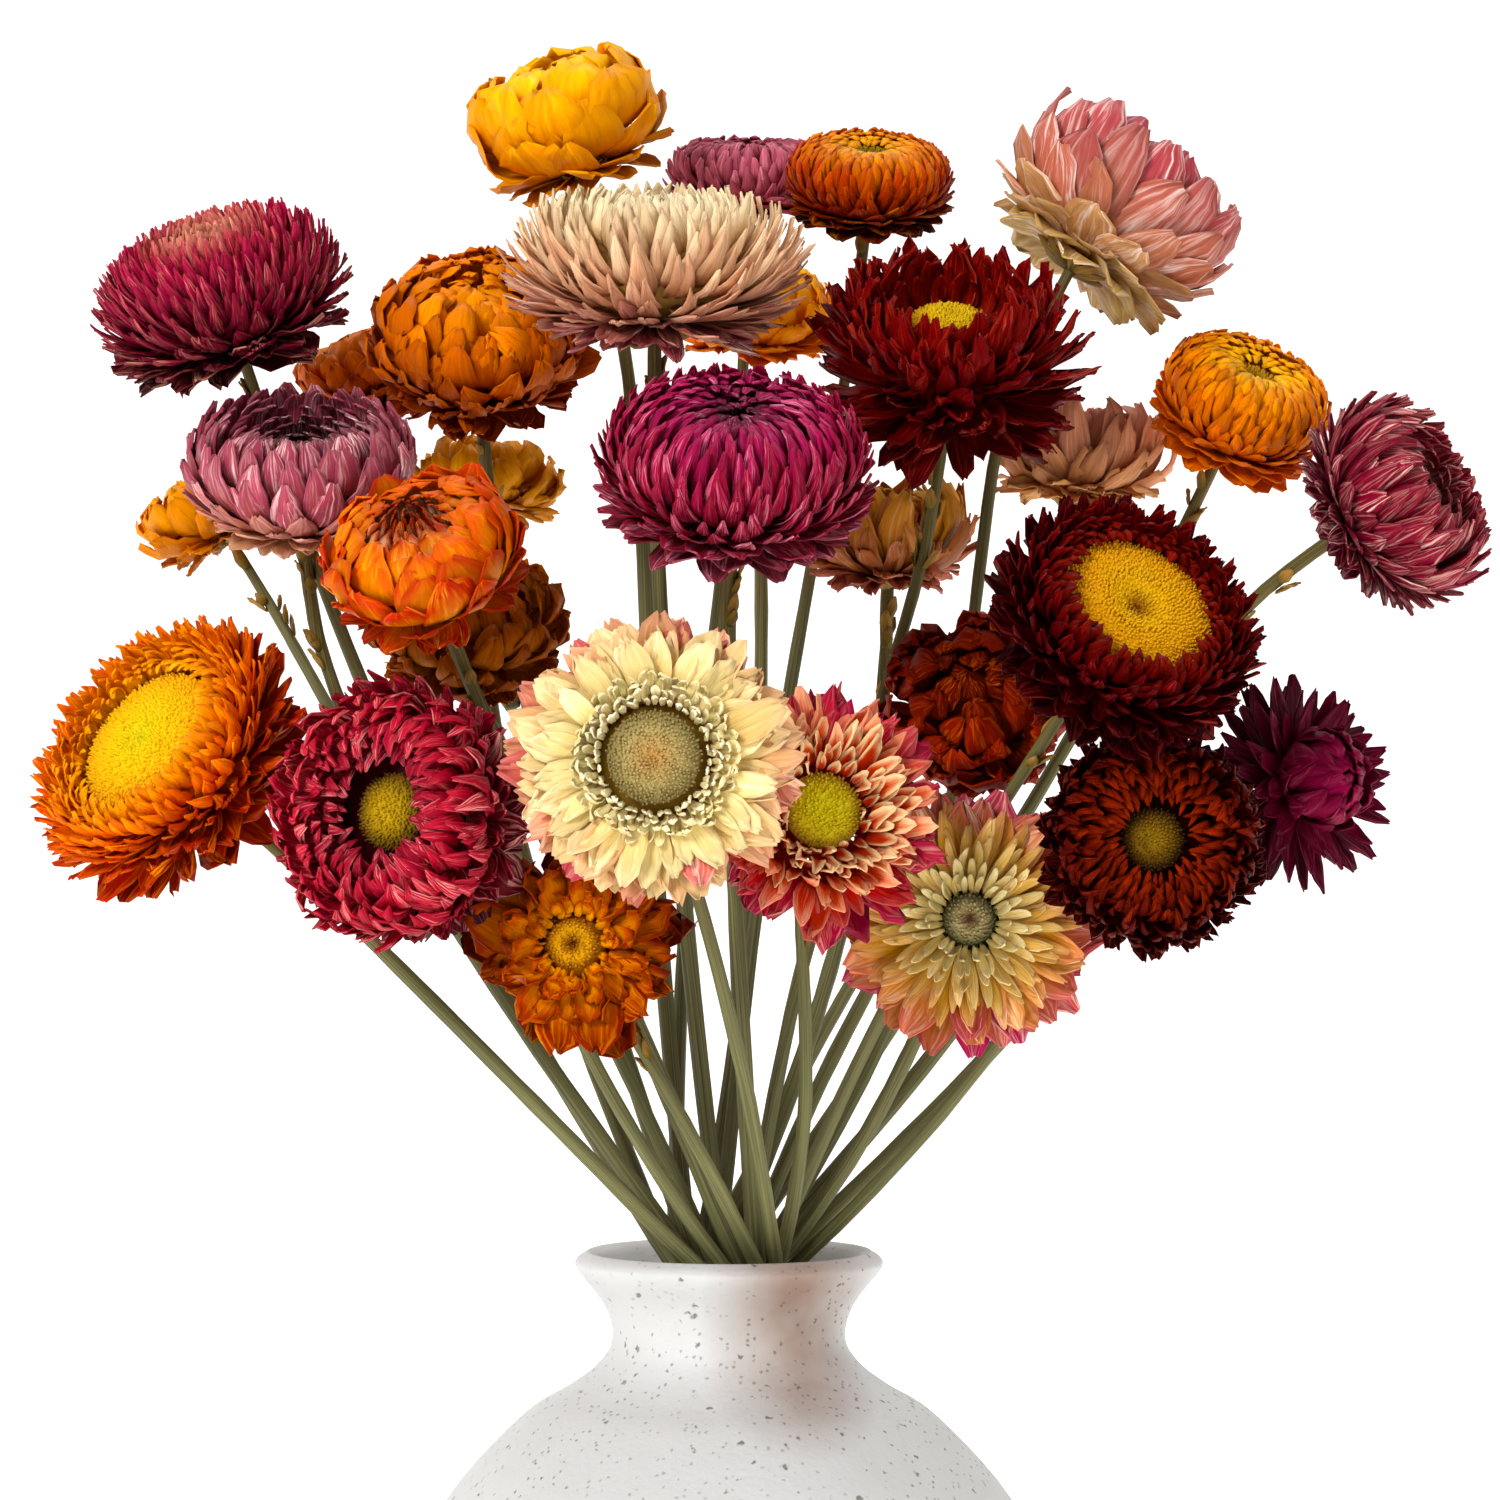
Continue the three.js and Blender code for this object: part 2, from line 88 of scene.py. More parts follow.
def add(tree, kind, links=None, **settings):
    made = tree.nodes.new("ShaderNode" + kind)
    for name, value in settings.items():
        setattr(made, name, value)
    for socket, value in (links or {}).items():
        if isinstance(value, bpy.types.NodeSocket):
            tree.links.new(value, made.inputs[socket])
        else:
            made.inputs[socket].default_value = value
    return made


def new_material(name, constants):
    material = bpy.data.materials.new(name)
    material.use_nodes = True
    shader = material.node_tree.nodes["Principled BSDF"]
    for socket, value in constants.items():
        shader.inputs[socket].default_value = value
    return material, material.node_tree, shader


# %% Turning a bmesh into a piece
def piece(name, bm, materials, nodes=()):
    mesh = bpy.data.meshes.new(name)
    bm.to_mesh(mesh)
    bm.free()
    for material in materials:
        mesh.materials.append(material)
    mesh.shade_smooth()
    made = bpy.data.objects.new(name, mesh)
    bpy.context.scene.collection.objects.link(made)
    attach(made, "root")
    if nodes:
        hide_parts(*nodes)
    return made


# %% Extruding edges, and facing a direction
def extruded(bm, edges):
    made = bmesh.ops.extrude_edge_only(bm, edges=edges)["geom"]
    verts = [v for v in made if isinstance(v, bmesh.types.BMVert)]
    far = [e for e in made if isinstance(e, bmesh.types.BMEdge) and all(v in verts for v in e.verts)]
    return verts, far


def facing(place, direction):
    return Matrix.Translation(place) @ direction.to_track_quat("Z", "Y").to_matrix().to_4x4()


# %% [markdown]
# ## Floor and light
# A sheet of pale paper that lies on the ground and curves up behind the vase gives an even ground
# with no horizon. It is far wider than the vase, so that its edges stay out of sight from all
# sides. The light is soft and comes from the front left and from above, as beside a large window,
# with a weaker light from the right so that the shaded bracts keep their colour.

# %% Paper floor that curves up behind the vase
FLOOR_WIDTH = 28.0
FLOOR_FRONT = -14.0
FLOOR_BACK = 1.5
FLOOR_BEND = 1.2
FLOOR_STEPS = 16
WALL_HEIGHT = 3.0
bm = bmesh.new()
front = [bm.verts.new((x, FLOOR_FRONT, 0)) for x in (-FLOOR_WIDTH / 2, FLOOR_WIDTH / 2)]
verts, edges = extruded(bm, [bm.edges.new(front)])
bmesh.ops.translate(bm, verts=verts, vec=(0, FLOOR_BACK - FLOOR_FRONT, 0))
turn = Matrix.Rotation(math.radians(90) / FLOOR_STEPS, 3, "X")
for step in range(FLOOR_STEPS):
    verts, edges = extruded(bm, edges)
    bmesh.ops.rotate(bm, verts=verts, cent=(0, FLOOR_BACK, FLOOR_BEND), matrix=turn)
verts, edges = extruded(bm, edges)
bmesh.ops.translate(bm, verts=verts, vec=(0, 0, WALL_HEIGHT))
bm.normal_update()
paper_floor = bpy.data.meshes.new("paper_floor")
bm.to_mesh(paper_floor)
bm.free()
paper_floor.shade_smooth()
floor = bpy.data.objects.new("paper_floor", paper_floor)
bpy.context.scene.collection.objects.link(floor)
# Matt paper scatters light evenly, and a little glow of its own keeps it pale up to the corners.
matt_paper, tree, shader = new_material("matt_white_paper", {
    "Base Color": linear("#f6f5f3"), "Roughness": 0.9,
    "Emission Color": linear("#fffefc"), "Emission Strength": 0.55,
})
paper_floor.materials.append(matt_paper)
print("floor faces:", len(paper_floor.polygons))

# %% Soft lights
MIDDLE = Vector((0, 0, 0.22))


def soft_light(name, place, size, watts):
    data = bpy.data.lights.new(name, "AREA")
    data.shape = "DISK"
    data.size = size
    data.energy = watts
    made = bpy.data.objects.new(name, data)
    made.location = place
    made.rotation_euler = (MIDDLE - Vector(place)).to_track_quat("-Z", "Y").to_euler()
    bpy.context.scene.collection.objects.link(made)


soft_light("window", place=(-0.9, -1.3, 1.1), size=0.7, watts=26)
soft_light("fill", place=(1.5, -0.9, 0.5), size=1.2, watts=7)
soft_light("above", place=(0.1, 0.4, 1.7), size=0.9, watts=12)
world = bpy.data.worlds.new("pale_room")
bpy.context.scene.world = world
world.use_nodes = True
room = world.node_tree.nodes["Background"]
room.inputs["Color"].default_value = linear("#fbfaf8")
room.inputs["Strength"].default_value = 0.3
bpy.context.scene.view_settings.view_transform = "Standard"

# %% [markdown]
# ## The vase
# A wheel-thrown stoneware vase is a body of revolution, so its wall is one outline spun round the
# axis. The outline's few points are the CAD part's, with a few more round the lip, and a curve
# through them gives the smooth wall of a thrown pot. The CAD lathe has 24 flat sides, and this one
# replaces it with 96.

# %% Curve through a few points
def smooth_line(points, steps):
    points = [Vector(p) for p in points]
    padded = [2 * points[0] - points[1]] + points + [2 * points[-1] - points[-2]]
    line = []
    for a, b, c, d in zip(padded, padded[1:], padded[2:], padded[3:]):
        for i in range(steps):
            t = i / steps
            line.append(0.5 * (2 * b + t * (c - a) + t * t * (2 * a - 5 * b + 4 * c - d)
                               + t ** 3 * (3 * b - a - 3 * c + d)))
    return line + [points[-1]]


# %% Spin the vase
FLOOR_THICKNESS = 5.5
FOOT = [(0, 0), (33, 0), (35.4, 0.1)]
OUTER_WALL = [
    (36, 0), (47, 11), (54.5, 27), (57, 48), (54.5, 64), (47.2, 80.3), (34.9, 94),
    (27, 99.1), (22, 102.9), (19.4, 107.3), (20.8, 113), (25.2, 118.8), (25.4, 120.6), (23.6, 121.9),
]
INNER_WALL = [
    (23.6, 121.9), (20.6, 120.2), (16.4, 113), (15.7, 107.3), (18.6, 101), (31.5, 90), (43.4, 77.5),
    (52.9, 50), (50.5, 29), (43.4, 14.5), (33, FLOOR_THICKNESS),
]
OUTER_STEPS = 5
INNER_STEPS = 4
VASE_SIDES = 96


def section(points):
    return [Vector((r, 0, z)) * MM for r, z in points]


outer = smooth_line(section(OUTER_WALL), OUTER_STEPS)
inner = smooth_line(section(INNER_WALL), INNER_STEPS)
outline = section(FOOT) + outer[1:] + inner[1:] + section([(0, FLOOR_THICKNESS)])
thrown = bmesh.new()
corners = [thrown.verts.new(p) for p in outline]
for a, b in zip(corners, corners[1:]):
    thrown.edges.new((a, b))
bmesh.ops.spin(thrown, geom=thrown.verts[:] + thrown.edges[:], cent=(0, 0, 0), axis=(0, 0, 1),
               dvec=(0, 0, 0), angle=2 * math.pi, steps=VASE_SIDES, use_merge=True, use_duplicate=False)
bmesh.ops.remove_doubles(thrown, verts=thrown.verts, dist=1e-6)
bmesh.ops.recalc_face_normals(thrown, faces=thrown.faces)
print("vase faces:", len(thrown.faces), "open edges:", sum(not e.is_manifold for e in thrown.edges))

# %% [markdown]
# ## Speckled stoneware glaze
# Stoneware clay holds grains of iron. In the kiln they melt through the pale matt glaze as brown
# specks from a pinprick to a millimetre wide, and gas leaves small pits. A pinkish-brown tone on the
# neck is a painted reflection of the red flowers above it. Round spots come from a Voronoi texture,
# whose distance to the nearest cell centre is cut off low, and only some cells get a spot. A scale is
# a number of cells to the metre, so scales of 900, 420 and 200 set the spots about 1, 2 and 5 mm apart.

# %% Glaze material
SPOT_EDGE = 0.55
SPOT_WOBBLE = 0.7
glaze, tree, shader = new_material("matt_speckled_stoneware_glaze", {"Roughness": 0.62, "IOR": 1.5})
place = add(tree, "TexCoord").outputs["Object"]


def spots(tree, place, scale, size, share):
    bent = add(tree, "TexNoise", {"Vector": place, "Scale": scale * 2.5})
    moved = add(tree, "MixRGB", {"Fac": SPOT_WOBBLE / scale, "Color1": place,
                                 "Color2": bent.outputs["Color"]}, blend_type="ADD")
    cells = add(tree, "TexVoronoi", {"Vector": moved.outputs[0], "Scale": scale})
    near = add(tree, "MapRange", {"Value": cells.outputs["Distance"], "From Min": size,
                                  "From Max": size * SPOT_EDGE})
    pick = add(tree, "SeparateColor", {"Color": cells.outputs["Color"]})
    chosen = add(tree, "Math", {0: pick.outputs["Red"], 1: share}, operation="LESS_THAN")
    made = add(tree, "Math", {0: near.outputs[0], 1: chosen.outputs[0]}, operation="MULTIPLY")
    return made.outputs[0]


cloud = add(tree, "TexNoise", {"Vector": place, "Scale": 28.0, "Detail": 4.0, "Roughness": 0.6})
body = add(tree, "MixRGB", {"Fac": cloud.outputs["Fac"], "Color1": linear("#d5d6d6"),
                            "Color2": linear("#bcbcba")})
# The painted reflection of the flowers lies on the neck, in front and to the right, and is about
# half as wide as it is high.
squeezed = add(tree, "VectorMath", {0: place, 1: (1.5, 1.0, 0.8)}, operation="MULTIPLY")
shift = add(tree, "VectorMath", {0: squeezed.outputs[0], 1: (0.0165, -0.020, 0.0900)}, operation="DISTANCE")
patch = add(tree, "MapRange", {"Value": shift.outputs["Value"], "From Min": 0.024, "From Max": 0.004,
                               "To Max": 1.9})
patchy = add(tree, "Math", {0: patch.outputs[0], 1: cloud.outputs["Fac"]}, operation="MULTIPLY")
painted_flower_reflection = add(tree, "MixRGB", {"Fac": patchy.outputs[0], "Color1": body.outputs[0],
                             "Color2": linear("#93796a")})
fine = spots(tree, place, 900.0, 0.32, 0.30)
middling = spots(tree, place, 420.0, 0.25, 0.22)
coarse = spots(tree, place, 200.0, 0.15, 0.10)
larger = add(tree, "Math", {0: middling, 1: coarse}, operation="MAXIMUM")
# The finest specks are faint and lie in drifts, more of them at the right.
xyz = add(tree, "SeparateXYZ", {"Vector": place})
drift = add(tree, "TexNoise", {"Vector": place, "Scale": 22.0})
sided = add(tree, "Math", {0: xyz.outputs["X"], 1: 2.5, 2: drift.outputs["Fac"]}, operation="MULTIPLY_ADD")
drifted = add(tree, "MapRange", {"Value": sided.outputs[0], "From Min": 0.4, "From Max": 0.62,
                                 "To Min": 0.25})
faint = add(tree, "Math", {0: fine, 1: drifted.outputs[0]}, operation="MULTIPLY")
specks = add(tree, "Math", {0: faint.outputs[0], 1: larger.outputs[0]}, operation="MAXIMUM")
strength = add(tree, "Math", {0: specks.outputs[0], 1: 0.75}, operation="MULTIPLY")
speckled = add(tree, "MixRGB", {"Fac": strength.outputs[0], "Color1": painted_flower_reflection.outputs[0],
                                "Color2": linear("#54443a")})
# The foot ring is left unglazed, so the bare clay shows below an uneven edge about 3 mm up.
ragged = add(tree, "Math", {0: cloud.outputs["Fac"], 1: 0.003, 2: 0.0012}, operation="MULTIPLY_ADD")
bare = add(tree, "Math", {0: xyz.outputs["Z"], 1: ragged.outputs[0]}, operation="LESS_THAN")
clay = add(tree, "MixRGB", {"Fac": bare.outputs[0], "Color1": speckled.outputs[0],
                            "Color2": linear("#b39a80")})
tree.links.new(clay.outputs[0], shader.inputs["Base Color"])
# Throwing rings, the grain of the matt surface and the pits of the specks make its relief.
grain = add(tree, "TexNoise", {"Vector": place, "Scale": 900.0, "Detail": 3.0})
rings = add(tree, "TexWave", {"Vector": place, "Scale": 60.0, "Distortion": 1.5, "Detail": 1.0},
            bands_direction="Z")
relief = add(tree, "Math", {0: rings.outputs["Fac"], 1: 0.25, 2: grain.outputs["Fac"]},
             operation="MULTIPLY_ADD")
sunk = add(tree, "Math", {0: specks.outputs[0], 1: -0.8, 2: relief.outputs[0]}, operation="MULTIPLY_ADD")
bump = add(tree, "Bump", {"Height": sunk.outputs[0], "Strength": 0.35, "Distance": 0.0004})
tree.links.new(bump.outputs[0], shader.inputs["Normal"])
piece("vase_glazed", thrown, [glaze], ["vase"])
print("glaze nodes:", len(tree.nodes))

# %% [markdown]
# ## One bract
# A bract is a thin dry blade: narrow where it grows from the head, widest past its middle, cupped
# across and curled along. It starts as a flat grid. Each cross row is scaled to its width, the
# middle is sunk to cup the blade, and everything beyond each row is turned a little for the curl.
# The outer part is frilled by chance. Two values are stored on the corners for the colour: how far
# along the blade, and how far across. Narrow bracts are many, so their grid is coarser.

# %% A bract blade
NARROW_BRACT = 3.3
NARROW_GRID = (2, 5)
WIDE_GRID = (4, 6)
POINTED = (0.5, 0.82, 1.0, 0.94, 0.72, 0.4, 0.06)
ROUNDED = (0.45, 0.75, 0.95, 1.0, 0.97, 0.8, 0.3)
FRILLED_PAST = 3
TWIST = 0.04
BRACT_THICKNESS = 0.22 * MM
BRACT_VALUES = ("along", "across", "layer", "tint")


def bract_blade(chance, length, width, curl, rounded, cup, frill):
    columns, steps = WIDE_GRID if width > NARROW_BRACT * MM else NARROW_GRID
    bm = bmesh.new()
    along, across, _, _ = [bm.verts.layers.float.new(name) for name in BRACT_VALUES]
    bmesh.ops.create_grid(bm, x_segments=steps, y_segments=columns, size=0.5)
    rows = [[] for _ in range(steps + 1)]
    for v in bm.verts:
        row = round((v.co.x + 0.5) * steps)
        v[along] = row / steps
        v[across] = 2 * v.co.y
        rows[row].append(v)
    bmesh.ops.translate(bm, verts=bm.verts, vec=(0.5, 0, 0))
    bmesh.ops.scale(bm, verts=bm.verts, vec=(length, width, 1))
    for row, verts in enumerate(rows):
        part = round(row * (len(POINTED) - 1) / steps)
        wide = POINTED[part] + (ROUNDED[part] - POINTED[part]) * rounded
        bmesh.ops.scale(bm, verts=verts, vec=(1, wide, 1))
        for v in verts:
            v.co.z -= cup * width * wide * (1 - v[across] ** 2)
            if part > FRILLED_PAST:
                v.co.z += frill * width * chance.uniform(-0.5, 0.5)
                v.co.x += frill * length * chance.uniform(-0.25, 0.1)
    bend = Matrix.Rotation(-curl / (steps - 1), 3, "Y")
    for row in range(1, steps):
        beyond = [v for verts in rows[row + 1:] for v in verts]
        pivot = sum((v.co for v in rows[row]), Vector()) / (columns + 1)
        turn = bend @ Matrix.Rotation(chance.gauss(0, TWIST), 3, "Z")
        bmesh.ops.rotate(bm, verts=beyond, cent=pivot, matrix=turn)
    bmesh.ops.solidify(bm, geom=bm.faces[:], thickness=BRACT_THICKNESS)
    bmesh.ops.recalc_face_normals(bm, faces=bm.faces)
    tip = sum((v.co for v in rows[-1]), Vector()) / (columns + 1)
    mesh = bpy.data.meshes.new("bract")
    bm.to_mesh(mesh)
    bm.free()
    return mesh, tip


sample, tip = bract_blade(random.Random(1), 12 * MM, 3.5 * MM, math.radians(30), 0.0, 0.15, 0.1)
print("one bract:", len(sample.polygons), "faces, tip at", tuple(round(x / MM, 1) for x in tip), "mm")
bpy.data.meshes.remove(sample)

# %% [markdown]
# ## Dry papery bracts
# The bracts of a strawflower are dead even on the living plant: thin sheets of cellulose with fine
# veins that run to the tip, and a satin shine like straw. The colour changes from the foot of each
# bract to its tip, and from the outer rows to the inner ones, so the finish takes two lists of
# colours, one for the feet and one for the tips, each read from the outermost row to the innermost.
# The firm core behind the bracts lies past the innermost row and may have a colour of its own. On
# some heads it is dark: painted shade in the gap round the disc.
#
# Turn is the place along the blade where the foot's colour gives way to the tip's, and edge says how
# much sooner that comes at the blade's sides. Fine veins are noise that is stretched along the blade.
# Their ridges turn towards a pale colour, as far as streak says: partly the pale veins of the dry
# bracts, partly a painted satin highlight. Their furrows are darker by shade: partly darker fibres,
# partly painted shade, as falls in the gaps between bracts. No two bracts have dried to the same
# shade, so a random value that each bract carries moves it lighter or darker and sets how much of
# the pale veins and painted highlight it shows.

# %% Papery finish
INNERMOST = 0.92


def papery(name, feet, tips, pale, turn=0.55, streak=0.25, shade=0.45, edge=0.2, core=None):
    material, tree, shader = new_material("dry_papery_bracts_" + name, {
        "Roughness": 0.5, "Specular IOR Level": 0.16, "Specular Tint": linear(pale)})
    values = {n: add(tree, "Attribute", attribute_name=n).outputs["Fac"] for n in BRACT_VALUES}

    def ramp(colours):
        made = add(tree, "ValToRGB", {"Fac": values["layer"]})
        stops = made.color_ramp.elements
        while len(stops) < len(colours) + 1:
            stops.new(0.5)
        for i, code in enumerate(colours):
            stops[i].position = INNERMOST * i / (len(colours) - 1)
            stops[i].color = linear(code)
        stops[-1].position = 1
        stops[-1].color = linear(core or colours[-1])
        return made.outputs["Color"]

    uneven = add(tree, "Math", {0: values["tint"], 1: 0.25, 2: values["along"]}, operation="MULTIPLY_ADD")
    side = add(tree, "Math", {0: values["across"], 1: values["across"]}, operation="MULTIPLY")
    sooner = add(tree, "Math", {0: side.outputs[0], 1: edge, 2: uneven.outputs[0]},
                 operation="MULTIPLY_ADD")
    share = add(tree, "MapRange", {"Value": sooner.outputs[0], "From Min": turn - 0.3,
                                   "From Max": turn + 0.45}, interpolation_type="SMOOTHSTEP")
    colour = add(tree, "MixRGB", {"Fac": share.outputs[0], "Color1": ramp(feet), "Color2": ramp(tips)})
    wide = add(tree, "Math", {0: values["across"], 1: 2.2}, operation="MULTIPLY")
    long = add(tree, "Math", {0: values["along"], 1: 0.7}, operation="MULTIPLY")
    own = add(tree, "Math", {0: values["tint"], 1: 37.0}, operation="MULTIPLY")
    where = add(tree, "CombineXYZ", {"X": wide.outputs[0], "Y": long.outputs[0], "Z": own.outputs[0]})
    vein = add(tree, "TexNoise", {"Vector": where.outputs[0], "Scale": 2.4, "Detail": 3.0,
                                  "Roughness": 0.65})
    # Pale ridges: partly the bracts' own pale veins, partly a painted satin highlight.
    light = add(tree, "MapRange", {"Value": vein.outputs["Fac"], "From Min": 0.5, "From Max": 0.75,
                                   "To Max": streak})
    pale_share = add(tree, "MapRange", {"Value": values["tint"], "From Min": 0.3, "To Min": 0.6,
                                      "To Max": 1.9})
    paler = add(tree, "Math", {0: light.outputs[0], 1: pale_share.outputs[0]}, operation="MULTIPLY")
    veined_and_highlit = add(tree, "MixRGB", {"Fac": paler.outputs[0], "Color1": colour.outputs[0],
                                  "Color2": linear(pale)})
    # Dark furrows: partly darker fibres, partly painted shade as between the bracts.
    dark = add(tree, "MapRange", {"Value": vein.outputs["Fac"], "From Min": 0.48, "From Max": 0.25,
                                  "To Min": 1.0, "To Max": 1 - shade})
    own_shade = add(tree, "MapRange", {"Value": values["tint"], "To Min": 0.82, "To Max": 1.2})
    level = add(tree, "Math", {0: dark.outputs[0], 1: own_shade.outputs[0]}, operation="MULTIPLY")
    final = add(tree, "HueSaturation", {"Color": veined_and_highlit.outputs[0], "Value": level.outputs[0],
                                        "Saturation": 1.1})
    tree.links.new(final.outputs[0], shader.inputs["Base Color"])
    bump = add(tree, "Bump", {"Height": vein.outputs["Fac"], "Strength": 0.5, "Distance": 0.0003})
    tree.links.new(bump.outputs[0], shader.inputs["Normal"])
    return material


# %% [markdown]
# ## How the bracts stand
# Seen from the side, each kind of head is a fan of curved bracts round a firm middle. Each line of a
# form gives, for one row from the outermost in, where its bracts grow and where their tips lie
# (radius and height in head radii), how far they curl in degrees, how crowded the row is and how
# wide its bracts are. Rows between two lines are blended from them. The outer lines match the rings
# of the CAD solids, so that the fine head fills the same space.

